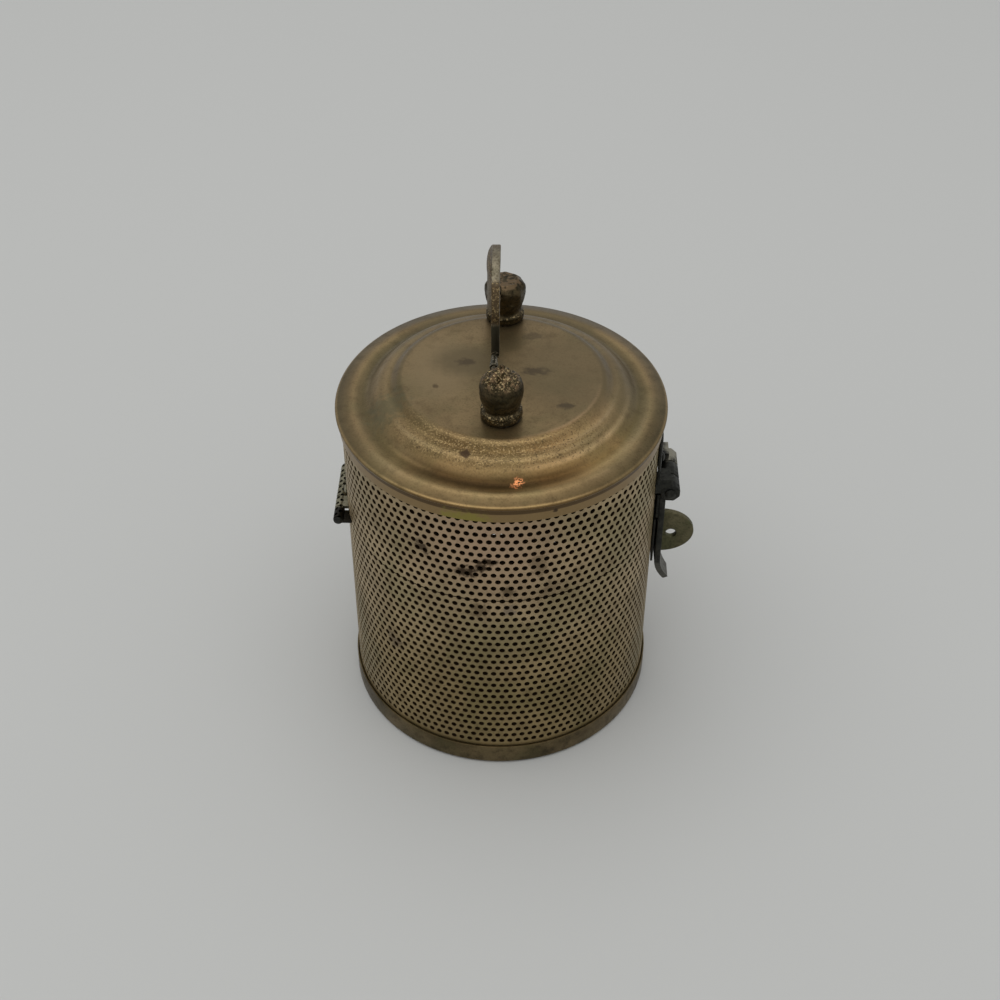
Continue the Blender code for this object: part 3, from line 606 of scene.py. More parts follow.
def build_tarnish_group() -> None:
    """Make the group for old brass: blotches of dark and green over a worn body colour."""
    inputs = {"where": "Vector"}
    inputs |= dict.fromkeys(TARNISH_COLOURS, "Color") | dict.fromkeys(TARNISH_NUMBERS, "Float")
    outputs = {"Color": "Color", "Roughness": "Float", "Height": "Float"}
    graph, given, leave = effect_group("tarnish", inputs, outputs)
    where, blotches, grains = given["where"], given["blotch_scale"], given["grain_amount"]
    shifted = graph.vector_maths("ADD", where, (0.31, 0.17, 0.53)).outputs[0]
    broad = graph.noise(where, blotches, 5, 0.6)
    other = graph.noise(shifted, blotches, 4, 0.6)
    medium = graph.noise(shifted, graph.times(blotches, 5.0), 4)
    grain = graph.noise(where, given["grain_scale"], 2, 0.65)
    colour = graph.mix(graph.span(broad, 0.38, 0.62), given["body"], given["bright"])
    green = graph.times(graph.span(other, 0.45, 0.62), given["green_amount"])
    stain = graph.times(graph.span(medium, 0.48, 0.70), given["dark_amount"])
    crumbs = graph.times(graph.span(grain, 0.50, 0.68), grains)
    glints = graph.times(graph.span(grain, 0.44, 0.30), grains)
    for mask, tint in ((green, "green"), (stain, "dark"), (crumbs, "dark"), (glints, "bright")):
        colour = graph.mix(mask, colour, given[tint])
    wear = graph.maths("ADD", graph.times(stain, 0.6), crumbs)
    uneven = graph.maths("ADD", wear, graph.times(medium, 0.5))
    spread = graph.maths("SUBTRACT", given["rough"], given["smooth"])
    rise = graph.times(spread, graph.maths("MINIMUM", uneven, 1.0))
    roughness = graph.maths("ADD", given["smooth"], rise)
    height = graph.maths("ADD", graph.times(grain, 0.6), graph.times(medium, 0.4))
    graph.fill(leave, {"Color": colour, "Roughness": roughness, "Height": height})


class Mark:
    """Another colour over part of a piece, solid or in crumbs."""

    colour: Colour
    amount: float
    crumbs: float
    crumb_scale: float

    def mask(self, graph: Graph, where: Socket) -> Socket:
        """Give the mark's mask, which each kind of mark works out in its own way."""
        raise NotImplementedError

    def lay(self, graph: Graph, where: Socket, colour: Socket) -> Socket:
        """Paint the mark.

        Args:
            graph: The material's graph.
            where: Object coordinates.
            colour: Colour so far.

        Returns:
            The colour with the mark on it.
        """
        mask = graph.times(self.mask(graph, where), self.amount)
        if self.crumbs:
            mask = graph.times(mask, graph.crumbs(where, self.crumb_scale, self.crumbs))
        return graph.mix(mask, colour, self.colour)


@dataclass(frozen=True)
class Belt(Mark):
    """A belt across a piece, with its ends and its soft edge in mm."""

    axis: Axis
    low: float
    high: float
    colour: Colour
    amount: float = 1.0
    soft: float = 0.4
    crumbs: float = 0.0
    crumb_scale: float = 2300.0

    def mask(self, graph: Graph, where: Socket) -> Socket:
        """Give the belt's mask at the given coordinates.

        Args:
            graph: The material's graph.
            where: Object coordinates.

        Returns:
            The result's socket.
        """
        along = graph.axes(where)[self.axis.value]
        low, high, soft = self.low * MM, self.high * MM, self.soft * MM
        return graph.times(
            graph.span(along, low - soft, low + soft), graph.span(along, high + soft, high - soft)
        )


@dataclass(frozen=True)
class Stain(Mark):
    """A patch round a place, with an uneven edge. Its place and reach are in mm."""

    place: Place
    reach: float
    colour: Colour
    amount: float = 0.8
    ragged: float = 0.5
    stretch: Place = (1.0, 1.0, 1.0)
    crumbs: float = 0.0
    crumb_scale: float = 2300.0
    edge_scale: float = 700.0

    def mask(self, graph: Graph, where: Socket) -> Socket:
        """Give the patch's mask at the given coordinates.

        Args:
            graph: The material's graph.
            where: Object coordinates.

        Returns:
            The result's socket.
        """
        reach = self.reach * MM
        place = tuple(size * MM for size in self.place)
        offset = graph.vector_maths("SUBTRACT", where, place).outputs[0]
        scaled = graph.vector_maths("MULTIPLY", offset, self.stretch).outputs[0]
        length = graph.vector_maths("LENGTH", scaled, (0.0, 0.0, 0.0)).outputs["Value"]
        wave = graph.maths("SUBTRACT", graph.noise(where, self.edge_scale, 3), 0.5)
        torn = graph.times(wave, 4 * self.ragged * reach)
        return graph.span(graph.maths("ADD", length, torn), reach, reach * 0.35)


@dataclass(frozen=True)
class BrassFinish:
    """One look of the old brass, built on the shared tarnish group."""

    name: str
    body: Colour
    bright: Colour
    dark: Colour
    green: Colour
    blotch_scale: float = 90.0
    dark_amount: float = 0.4
    green_amount: float = 0.3
    grain_scale: float = 2500.0
    grain_amount: float = 0.3
    smooth: float = 0.32
    rough: float = 0.55
    bump: float = 0.15
    bump_depth: float = 0.10 * MM
    metallic: float = 0.9
    marks: tuple[Mark, ...] = ()

    def material(self) -> Material:
        """Make the material.

        Returns:
            The material, with its tarnish, its bump and its marks.
        """
        material = bpy.data.materials.new(self.name)
        material.use_nodes = True
        material.diffuse_color = (*self.body, 1)
        graph = Graph(material.node_tree)
        shader = material.node_tree.nodes["Principled BSDF"]
        where = graph.add("TexCoord").outputs["Object"]
        values = {name: getattr(self, name) for name in TARNISH_COLOURS + TARNISH_NUMBERS}
        look = graph.effect("tarnish", {"where": where} | values).outputs
        relief = {"Strength": self.bump, "Distance": self.bump_depth, "Height": look["Height"]}
        colour = self.tone(graph, look["Color"], where)
        for mark in self.marks:
            colour = mark.lay(graph, where, colour)
        inputs = {
            "Base Color": self.overlay(graph, where, colour),
            "Metallic": self.metallic,
            "Roughness": look["Roughness"],
            "Normal": graph.fill(graph.add("Bump"), relief).outputs["Normal"],
        }
        graph.fill(shader, inputs)
        return material

    def tone(self, graph: Graph, colour: Socket, where: Socket) -> Socket:
        """Change the tarnish before the marks."""
        return colour

    def overlay(self, graph: Graph, where: Socket, colour: Socket) -> Socket:
        """Paint what lies over the marks."""
        return colour


@dataclass(frozen=True)
class SheetFinish(BrassFinish):
    """Perforated sheet: satin outside, with grime and painted shade in its holes and painted shade
    on its inner face.
    """

    dirt_and_shade: Colour = (0.090, 0.055, 0.026)
    low_shade_tone: Colour = (0.74, 0.72, 0.60)
    low_shade_span: Point = (60 * MM, 22 * MM)
    painted_sheen: Colour = (0.48, 0.325, 0.225)
    painted_sheen_amount: float = 0.65
    painted_sheen_place: Place = (-3 * MM, -38 * MM, 77 * MM)
    painted_sheen_reach: float = 31 * MM
    skin: float = 0.05 * MM
    fade: float = 0.10 * MM

    def tone(self, graph: Graph, colour: Socket, where: Socket) -> Socket:
        """Give the satin colour, with a lighter, warmer painted sheen high up in front and painted
        shade, darker and greener, low down.

        Args:
            graph: The material's graph.
            colour: Colour so far.
            where: Object coordinates.

        Returns:
            The result's socket.
        """
        # Painted shade: the lower wall is darkened and turned greener.
        low = graph.span(graph.axes(where)[Axis.Z.value], *self.low_shade_span)
        colour = graph.mix(low, colour, graph.mix(1.0, colour, self.low_shade_tone, "MULTIPLY"))
        # Painted sheen: a lighter, warmer patch high up on the front of the wall.
        painted_sheen_mask = graph.near(where, self.painted_sheen_place, self.painted_sheen_reach)
        return graph.mix(graph.times(painted_sheen_mask, self.painted_sheen_amount), colour, self.painted_sheen)

    def overlay(self, graph: Graph, where: Socket, colour: Socket) -> Socket:
        """Darken the sheet's cut edges and its inner face with grime and painted shade.

        Args:
            graph: The material's graph.
            where: Object coordinates.
            colour: Colour so far.

        Returns:
            The result's socket.
        """
        # Grime and painted shade: everything inside the outer skin is darkened, which covers the
        # hole walls and the inner face.
        outside = SHELL.wall_radius - self.skin
        depth = graph.span(graph.radius(where), outside, outside - self.fade)
        return graph.mix(depth, colour, self.dirt_and_shade)


@dataclass(frozen=True)
class CapFinish(BrassFinish):
    """The stamped cap: painted highlights and shade on its rings by radius, partly grime in the
    hollow ring, painted glints on the front right, warmer and grainier on the steps in front.
    """

    # Painted highlights and shade of the rings, partly grime in the hollow ring: for the sides, the
    # front shoulders and the middle of the front.
    side: Tones = ()
    shoulder: Tones = ()
    front: Tones = ()
    # Painted glints on the rings, multiplied in round a place on the front right.
    glints: Tones = ()
    painted_glint_place: Place = (21.5 * MM, -21.5 * MM, 92 * MM)
    painted_glint_reach: float = 30 * MM
    crumb: Colour = (0.40, 0.285, 0.135)
    step_start: Point = (0.58, 0.62)
    step_end: Point = (0.80, 0.74)

    def tone(self, graph: Graph, colour: Socket, where: Socket) -> Socket:
        """Give the colour with the painted highlights and shade of its rings and their painted
        glints.

        Args:
            graph: The material's graph.
            colour: Colour so far.
            where: Object coordinates.

        Returns:
            The result's socket.
        """
        radius = graph.radius(where)
        share = graph.maths("DIVIDE", radius, SHELL.rim_radius)
        facing = graph.maths("DIVIDE", graph.axes(where)[Axis.Y.value], radius)
        front = graph.span(facing, -0.35, -0.80)
        middle = graph.span(facing, -0.70, -0.95)
        # Painted highlights and shade of the rings, blended from the sides to the front.
        tone = graph.mix(front, graph.ramp(share, self.side), graph.ramp(share, self.shoulder))
        tone = graph.mix(middle, tone, graph.ramp(share, self.front))
        colour = graph.mix(1.0, colour, tone, "MULTIPLY")
        # Painted glints: the rings are brightened round a place on the front right.
        painted_glint_mask = graph.near(where, self.painted_glint_place, self.painted_glint_reach)
        painted_glint_colour = graph.mix(1.0, colour, graph.ramp(share, self.glints), "MULTIPLY")
        colour = graph.mix(painted_glint_mask, colour, painted_glint_colour)
        steps = graph.times(graph.span(share, *self.step_start), graph.span(share, *self.step_end))
        steps = graph.times(front, steps)
        crumbs = graph.times(steps, graph.crumbs(where, 2600.0, 0.50), 0.60)
        pits = graph.times(steps, graph.crumbs(where, 2100.0, 0.40), 0.80)
        return graph.mix(pits, graph.mix(crumbs, colour, self.crumb), self.dark)


# Sub-assemblies


def dress(item: Item, material: Material) -> None:
    """Give a piece its material.

    Args:
        item: The piece.
        material: Its finish.
    """
    item.data.materials.clear()
    item.data.materials.append(material)


@dataclass
class BasePan:
    """The turned-up pan that closes the foot of the box."""

    floor: float = 0.6 * MM
    height: float = 6.2 * MM
    foot_round: float = 1.0 * MM
    lip_round: float = 0.16 * MM

    def build(self, material: Material) -> None:
        """Make the pan.

        Args:
            material: Its finish.
        """
        corner = (SHELL.band_outer - self.foot_round, self.foot_round)
        foot = arc(corner, self.foot_round, 0, -QUARTER_TURN, 8)
        inner, outer = SHELL.band_inner, SHELL.band_outer
        lip = [(inner, self.floor), (inner, self.height), (outer, self.height), foot[0]]
        outline = [(0, self.floor), *rounded(lip, self.lip_round)[:-1], *foot, (0, 0)]
        pan = add_piece("pan", lathe(outline, 192))
        dress(pan, material)
        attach(pan, "body")
        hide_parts("base_pan")


@dataclass
class PerforatedWall:
    """The punched sheet rolled into a tube and cut along a row of its holes."""

    tier: Tier
    around: int = 118
    row_pitch: float = 2.10 * MM
    seam_row: float = 58.6 * MM
    rows_above: int = 12
    rows_below: int = 24
    rows_past_seam: int = 2
    hole_radius: float = 0.70 * MM
    hole_sides: int = 12
    notches: tuple[Point, ...] = ()
    notch_depth: float = 1.25 * MM
    notch_room: Point = (3 * MM, 4 * MM)
    burr: float = 0.5 * MM

    def cell(self, pitch: float) -> Mesh:
        """Make one flat cell of sheet with its hole, in the XZ plane.

        Args:
            pitch: Distance between holes in a row.

        Returns:
            The flat cell, open at its hole.
        """
        bm = bmesh.new()
        bmesh.ops.create_circle(
            bm, cap_ends=False, radius=self.hole_radius, segments=self.hole_sides
        )
        half, rise = pitch / 2, self.row_pitch / 2
        across = (-half, 0, half)
        corners = [(u, -rise) for u in across] + [(u, rise) for u in reversed(across)]
        verts = [bm.verts.new((u, v, 0)) for u, v in corners]
        for pair in zip(verts, verts[1:] + verts[:1]):
            bm.edges.new(pair)
        bmesh.ops.triangle_fill(bm, use_beauty=True, use_dissolve=False, edges=bm.edges[:])
        bmesh.ops.rotate(bm, matrix=Matrix.Rotation(QUARTER_TURN, 3, "X"), verts=bm.verts)
        return bm

    def lay_copy(self, bm: Mesh, geom: list[object], step: Place) -> None:
        """Lay a copy of some geometry at a distance."""
        made = bmesh.ops.duplicate(bm, geom=geom)["geom"]
        bmesh.ops.translate(bm, vec=step, verts=only_verts(made))

    def lattice(self) -> Mesh:
        """Lay out the flat sheet, row over row, with every second row half a pitch along.

        Returns:
            The sheet in the XZ plane.
        """
        pitch = FULL_TURN * SHELL.wall_radius / self.around
        bm = self.cell(pitch)
        cell = whole(bm)
        for i in range(1, self.around):
            self.lay_copy(bm, cell, (i * pitch, 0, 0))
        bmesh.ops.remove_doubles(bm, verts=bm.verts, dist=WELD)
        up, down = self.rows_above, self.rows_past_seam
        if self.tier is Tier.BODY:
            up, down = self.rows_past_seam, self.rows_below
        row = whole(bm)
        for i in (*range(-down, 0), *range(1, up + 1)):
            self.lay_copy(bm, row, ((i % 2) * pitch / 2, 0, i * self.row_pitch))
        bmesh.ops.translate(bm, vec=(0, 0, self.seam_row), verts=bm.verts)
        return bm

    def open_notches(self, bm: Mesh) -> None:
        """Cut away the sheet where the hinge's knuckles come out at the seam.

        Args:
            bm: The mesh.
        """
        up = 1 if self.tier is Tier.LID else -1
        far = SHELL.seam + up * self.notch_depth
        beside, over = self.notch_room
        for low, high in self.notches:
            planes = (((0, low, 0), (0, 1, 0)), ((0, high, 0), (0, 1, 0)), ((0, 0, far), (0, 0, 1)))
            for place, normal in planes:
                near = []
                for face in bm.faces:
                    x, y, z = face.calc_center_median()
                    if x < 0 and low - beside < y < high + beside and abs(z - SHELL.seam) < over:
                        near.append(face)
                edges = {edge for face in near for edge in face.edges}
                verts = {vert for face in near for vert in face.verts}
                geom = [*verts, *edges, *near]
                bmesh.ops.bisect_plane(bm, geom=geom, plane_co=place, plane_no=normal)
            gone = []
            for face in bm.faces:
                x, y, z = face.calc_center_median()
                if x < 0 and low < y < high and up * (far - z) > 0:
                    gone.append(face)
            bmesh.ops.delete(bm, geom=gone, context="FACES")

    def build(self, material: Material) -> None:
        """Roll the sheet, trim it at the seam and give it its thickness.

        Args:
            material: Its finish.
        """
        bm = self.lattice()
        for vert in bm.verts:
            angle = vert.co.x / SHELL.wall_radius
            vert.co.x = SHELL.wall_radius * math.cos(angle)
            vert.co.y = SHELL.wall_radius * math.sin(angle)
        bmesh.ops.remove_doubles(bm, verts=bm.verts, dist=5 * WELD)
        upper = self.tier is Tier.LID
        half_gap = SHELL.seam_gap / 2
        bmesh.ops.bisect_plane(
            bm,
            geom=whole(bm),
            plane_co=(0, 0, SHELL.seam + half_gap if upper else SHELL.seam - half_gap),
            plane_no=(0, 0, -1 if upper else 1),
            clear_outer=True,
        )
        heights = [vert.co.z for vert in bm.verts]
        far, goal = (max(heights), SHELL.wall_top) if upper else (min(heights), SHELL.wall_foot)
        rim = [e for e in bm.edges if all(abs(v.co.z - far) < WELD for v in e.verts)]
        made = bmesh.ops.extrude_edge_only(bm, edges=rim)["geom"]
        bmesh.ops.translate(bm, vec=(0, 0, goal - far), verts=only_verts(made))
        self.open_notches(bm)
        bmesh.ops.dissolve_degenerate(bm, dist=10 * WELD, edges=bm.edges)
        bmesh.ops.recalc_face_normals(bm, faces=bm.faces)
        sample = bm.faces[0]
        if sample.normal.dot(Vector((*sample.calc_center_median().xy, 0))) < 0:
            bmesh.ops.reverse_faces(bm, faces=bm.faces)
        bmesh.ops.solidify(bm, geom=bm.faces[:], thickness=SHELL.wall_sheet + self.burr)
        sheet = add_piece(f"{self.tier.value}_sheet", bm)
        dress(sheet, material)
        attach(sheet, self.tier.value)
        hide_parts(f"{self.tier.value}_wall")


@dataclass
class LidCap:
    """The stamped cap with its stepped dome, rolled rim and skirt."""

    rise: float = 6.6 * MM
    sheet: float = 0.6 * MM
    bead: float = 1.1 * MM
    skirt_bottom: float = 84.2 * MM
    skirt_round: float = 0.12 * MM
    shank_hole: float = 1.8 * MM
    shares: tuple[Point, ...] = (
        (0.570, 1.000),
        (0.590, 1.000),
        (0.603, 0.992),
        (0.622, 0.955),
        (0.642, 0.860),
        (0.663, 0.760),
        (0.682, 0.725),
        (0.708, 0.690),
        (0.736, 0.615),
        (0.762, 0.470),
        (0.787, 0.310),
        (0.808, 0.190),
        (0.832, 0.132),
        (0.866, 0.136),
        (0.900, 0.160),
        (0.932, 0.124),
        (0.965, 0.062),
        (0.985, 0.022),
    )

    def outline(self) -> list[Point]:
        """Give the outline from the centre over the dome, the rim and the skirt, and back inside.

        Returns:
            The (radius, height) points.
        """
        dome = [(r * SHELL.rim_radius, SHELL.rim_height + h * self.rise) for r, h in self.shares]
        dome = smooth_line(dome)
        bead_radius = self.bead / 2
        centre = (SHELL.rim_radius - bead_radius, SHELL.rim_height - bead_radius)
        bead = arc(centre, bead_radius, QUARTER_TURN * 0.8, -QUARTER_TURN, 10)
        inside = [(r, h - self.sheet) for r, h in reversed(dome[::2])]
        corners = [
            bead[-1],
            (SHELL.band_outer, SHELL.rim_height - self.bead - 0.1 * MM),
            (SHELL.band_outer, self.skirt_bottom),
            (SHELL.band_inner, self.skirt_bottom),
            (SHELL.band_inner, SHELL.wall_top + SHELL.seat_gap),
            inside[0],
        ]
        skirt = rounded(corners, self.skirt_round)
        hub = [(0, SHELL.disc_height), (dome[0][0] / 2, SHELL.disc_height)]
        under = [(r, h - self.sheet) for r, h in reversed(hub)]
        return [*hub, *dome, *bead[:-1], *skirt[:-1], *inside, *under]

    def build(self, material: Material) -> None:
        """Make the cap with the two holes for the knobs' shanks.

        Args:
            material: Its finish.
        """
        cap = add_piece("cap", lathe(self.outline(), 256))
        for end in End:
            place = Matrix.Translation((SHELL.knob_x, SHELL.knob_y(end), SHELL.disc_height))
            shape(cap, tube(self.shank_hole, 8 * MM, place))
        dress(cap, material)
        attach(cap, "lid")
        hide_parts("lid_cap")


@dataclass
class Knob:
    """A cast knob on a shank, bored for the handle's pin."""

    end: End
    height: float
    crown: tuple[Point, ...]
    shares: tuple[Point, ...]
    drop: float
    shank: float = 1.5 * MM
    bore_depth: float = 4.1 * MM
    bore_radius: float = 0.9 * MM

    @classmethod
    def front(cls) -> Knob:
        """Give the front knob, whose peaked crown was left as it broke from the casting.

        Returns:
            The knob.
        """
        peak, height = 2.6 * MM, 12.0 * MM
        crown = ((0.0, 1.0), (0.10, 0.97), (0.22, 0.72), (0.34, 0.46), (0.45, 0.24))
        shares = (
            (0.540, 1.000),
            (0.800, 0.920),
            (0.940, 0.800),
            (1.000, 0.620),
            (0.965, 0.450),
            (0.890, 0.330),
            (0.820, 0.250),
            (0.860, 0.205),
            (0.945, 0.175),
            (0.960, 0.100),
            (0.945, 0.030),
            (0.910, 0.000),
        )
        return cls(End.FRONT, height, tuple((r, h * peak) for r, h in crown), shares, 4.4 * MM)

    @classmethod
    def rear(cls) -> Knob:
        """Give the rear knob, with its flat chamfered top."""
        shares = (
            (0.620, 1.000),
            (0.680, 0.985),
            (0.930, 0.875),
            (0.985, 0.820),
            (1.000, 0.720),
            (0.960, 0.560),
            (0.880, 0.410),
            (0.800, 0.290),
            (0.840, 0.210),
            (0.920, 0.175),
            (0.935, 0.090),
            (0.925, 0.030),
            (0.890, 0.000),
        )
        return cls(End.REAR, 11.0 * MM, ((0, 0), (0.3, 0), (0.56, 0)), shares, 6.4 * MM)

    def build(self, material: Material) -> None:
        """Make the knob.

        Args:
            material: Its finish.
        """
        radius, y = SHELL.knob_radius, SHELL.knob_y(self.end)
        side = [(r * radius, h * self.height) for r, h in self.shares]
        crown = [(r * radius, self.height + h) for r, h in self.crown]
        foot = [(self.shank, 0), (self.shank, -self.drop), (0, -self.drop)]
        place = Matrix.Translation((SHELL.knob_x, y, SHELL.knob_seat))
        bm = lathe([*smooth_line([*crown, *side]), *foot], 80, place)
        self.roughen(bm)
        knob = add_piece(f"{self.end.value}_cast_knob", bm)
        inward = 1 if self.end is End.FRONT else -1
        mouth, floor = y + inward * (radius + MM), y + inward * (radius - self.bore_depth)
        bore = along_y(SHELL.bail_x, (mouth + floor) / 2, SHELL.pivot_height)
        shape(knob, tube(self.bore_radius, abs(mouth - floor), bore, 20))
        dress(knob, material)
        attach(knob, "lid")
        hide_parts(f"{self.end.value}_knob")

    def roughen(self, bm: Mesh) -> None:
        """Give the casting its uneven skin, broken round the crown of the front one.

        Args:
            bm: The mesh.
        """
        bm.normal_update()
        front = self.end is End.FRONT
        share = 1.0 if front else 0.35
        crown, head = (SHELL.knob_seat + self.height * part for part in (0.80, 0.55))
        for vert in bm.verts:
            height = vert.co.z
            if height < SHELL.knob_seat + 0.2 * MM:
                continue
            fine = abs(noise.noise(vert.co * 900)) * 0.30 * share
            broad = max(0.0, noise.noise(vert.co * 260)) * 0.45 * share
            broken = 0.0
            if not front and height > head:
                self.facet(vert)
            if front and height > crown:
                torn = min(1.0, (height - crown) / (1.5 * MM))
                broken = torn * (abs(noise.noise(vert.co * 620)) * 0.9 + fine * 1.6)
            vert.co -= vert.normal * (fine + broad + broken) * MM

    def facet(self, vert: bmesh.types.BMVert) -> None:
        """Draw a point in towards one of eight flats round the knob's head.

        Args:
            vert: The point.
        """
        x, y = vert.co.x - SHELL.knob_x, vert.co.y - SHELL.knob_y(self.end)
        if math.hypot(x, y) < 0.1 * MM:
            return
        flat = math.pi / 4
        off = (math.atan2(y, x) + FULL_TURN) % flat - flat / 2
        share = min(1.0, math.cos(flat / 2) / math.cos(off) * 1.03)
        vert.co.x = SHELL.knob_x + x * share
        vert.co.y = SHELL.knob_y(self.end) + y * share


@dataclass
class BailHandle:
    """The flat arch with a pin in each foot, which swings between the knobs."""

    thick: float = 1.95 * MM
    bar: float = 3.3 * MM
    arch_radius: float = 10.3 * MM
    arch_rise: float = 11.8 * MM
    leg_rise: float = 9.6 * MM
    foot_drop: float = 0.6 * MM
    edge_round: float = 0.2 * MM
    wear: float = 0.10 * MM
    pin_radius: float = 0.65 * MM
    pin_reach: float = 3.6 * MM
    collar: float = 1.05 * MM
    arch_x: float = -1.5 * MM
    bend: float = 37.0
    bend_start: float = 3.5 * MM

    def build(self, material: Material) -> None:
        """Sweep the bar over the arch and set the pins in its feet.

        Args:
            material: Its finish.
        """
        centre = Vector((self.arch_x, SHELL.knob_middle, SHELL.pivot_height + self.arch_rise))
        dip = math.asin((self.arch_rise - self.leg_rise) / self.arch_radius)
        outer = self.arch_radius * math.cos(dip)
        bm = self.sweep(centre, outer, dip)
        soften(bm, self.edge_round)
        long_edges = [edge for edge in bm.edges if edge.calc_length() > 3 * MM]
        bmesh.ops.subdivide_edges(bm, edges=long_edges, cuts=6)
        bm.normal_update()
        for vert in bm.verts:
            vert.co -= vert.normal * abs(noise.noise(vert.co * 330)) * self.wear
        for vert in bm.verts:
            beyond = vert.co.y - SHELL.knob_middle - self.bend_start
            vert.co.x -= self.bend * max(0.0, beyond) ** 2
        bail = add_piece("bail", bm)
        for end in End:
            shape(bail, self.pin(end, outer - self.bar / 2), "UNION")
        dress(bail, material)
        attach(bail, "handle")
        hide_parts("bail_handle")

    def sweep(self, centre: Vector, outer: float, dip: float) -> Mesh:
        """Draw the bar's section up one leg, over the arch and down the other leg.

        Args:
            centre: Centre of the arch.
            outer: Distance from the middle to a leg's outer face.
            dip: Angle below the level at which the arch starts.

        Returns:
            A closed mesh.
        """
        half, inner = self.thick / 2, outer - self.bar
        drop = centre.z - (SHELL.pivot_height + self.leg_rise)
        fall = SHELL.pivot_height - self.foot_drop - centre.z
        inner_dip = math.atan2(drop, inner)
        over = arc((0, 0), self.arch_radius, -dip, math.pi + dip, 36)
        under = arc((0, 0), math.hypot(inner, drop), -inner_dip, math.pi + inner_dip, 36)
        over = [(outer, fall), *over, (-outer, fall)]
        under = [(inner, fall), *under, (-inner, fall)]
        bm = bmesh.new()
        rings = []
        for near, far in zip(over, under):
            corners = ((-half, near), (half, near), (half, far), (-half, far))
            rings.append([bm.verts.new(centre + Vector((u, *point))) for u, point in corners])
        for ring, after in zip(rings, rings[1:]):
            for i in range(4):
                bm.faces.new((ring[i - 1], ring[i], after[i], after[i - 1]))
        bm.faces.new(rings[0])
        bm.faces.new(rings[-1])
        bmesh.ops.recalc_face_normals(bm, faces=bm.faces)
        return bm

    def pin(self, end: End, leg: float) -> Mesh:
        """Make the pin of one foot, with a rough collar where it meets the knob.

        Args:
            end: Which foot.
            leg: Distance from the handle's middle to the middle of a leg.

        Returns:
            A closed mesh.
        """
        inward = 1 if end is End.FRONT else -1
        start = SHELL.knob_middle - inward * leg
        stop = SHELL.knob_y(end) + inward * (SHELL.knob_radius - self.pin_reach)
        face = SHELL.knob_y(end) + inward * (SHELL.knob_radius + 0.25 * MM)
        length, seat = abs(start - stop), abs(start - face)
        outline = [
            (0, 0),
            (self.pin_radius, 0),
            (self.pin_radius, seat * 0.35),
            (self.collar * 0.85, seat * 0.7),
            (self.collar, seat * 0.9),
            (self.collar * 0.9, seat),
            (self.pin_radius, seat),
            (self.pin_radius, length),
            (0, length),
        ]
        turn = Matrix.Rotation(inward * QUARTER_TURN, 4, "X")
        place = Matrix.Translation((SHELL.bail_x, start, SHELL.pivot_height))
        return lathe(outline, 20, place @ turn)


@dataclass
class Rivet:
    """A small domed rivet through a leaf and the wall."""

    name: str
    body: str
    y: float
    z: float
    side: int
    outer_face: float
    inner_face: float = 38.1 * MM
    head_radius: float = 1.1 * MM
    head_height: float = 0.55 * MM
    shank_radius: float = 0.45 * MM
    tail_radius: float = 0.85 * MM
    tail_round: float = 0.70 * MM
    gap: float = 0.15 * MM

    def build(self, material: Material, slot: str) -> None:
        """Make the rivet.

        Args:
            material: Its finish.
            slot: Not used.
        """
        seat = self.outer_face + self.gap
        tail = self.inner_face - self.gap - seat
        angles = [QUARTER_TURN * k / 8 for k in range(9)]
        outline = [
            *[(self.head_radius * math.sin(a), self.head_height * math.cos(a)) for a in angles],
            (self.shank_radius, 0),
            (self.shank_radius, tail),
            (self.tail_radius, tail),
            (self.tail_round, tail - 0.3 * MM),
            (0.4 * MM, tail - 0.4 * MM),
            (0, tail - 0.4 * MM),
        ]
        place = on_wall(self.y, seat, self.z, self.side)
        rivet = add_piece(f"{self.name}_head", lathe(outline, 24, place))
        dress(rivet, material)
        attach(rivet, self.body)
        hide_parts(self.name)


def knuckle_spans(middle: float, length: float, count: int, gap: float) -> list[Point]:
    """Give the y range of each knuckle along a barrel, from -Y to +Y.

    Args:
        middle: Middle of the barrel.
        length: Length of the barrel.
        count: Number of knuckles.
        gap: Gap between two knuckles.

    Returns:
        The lowest and highest y of each.
    """
    pitch = (length + gap) / count
    start = middle - length / 2
    return [(start + i * pitch, start + (i + 1) * pitch - gap) for i in range(count)]


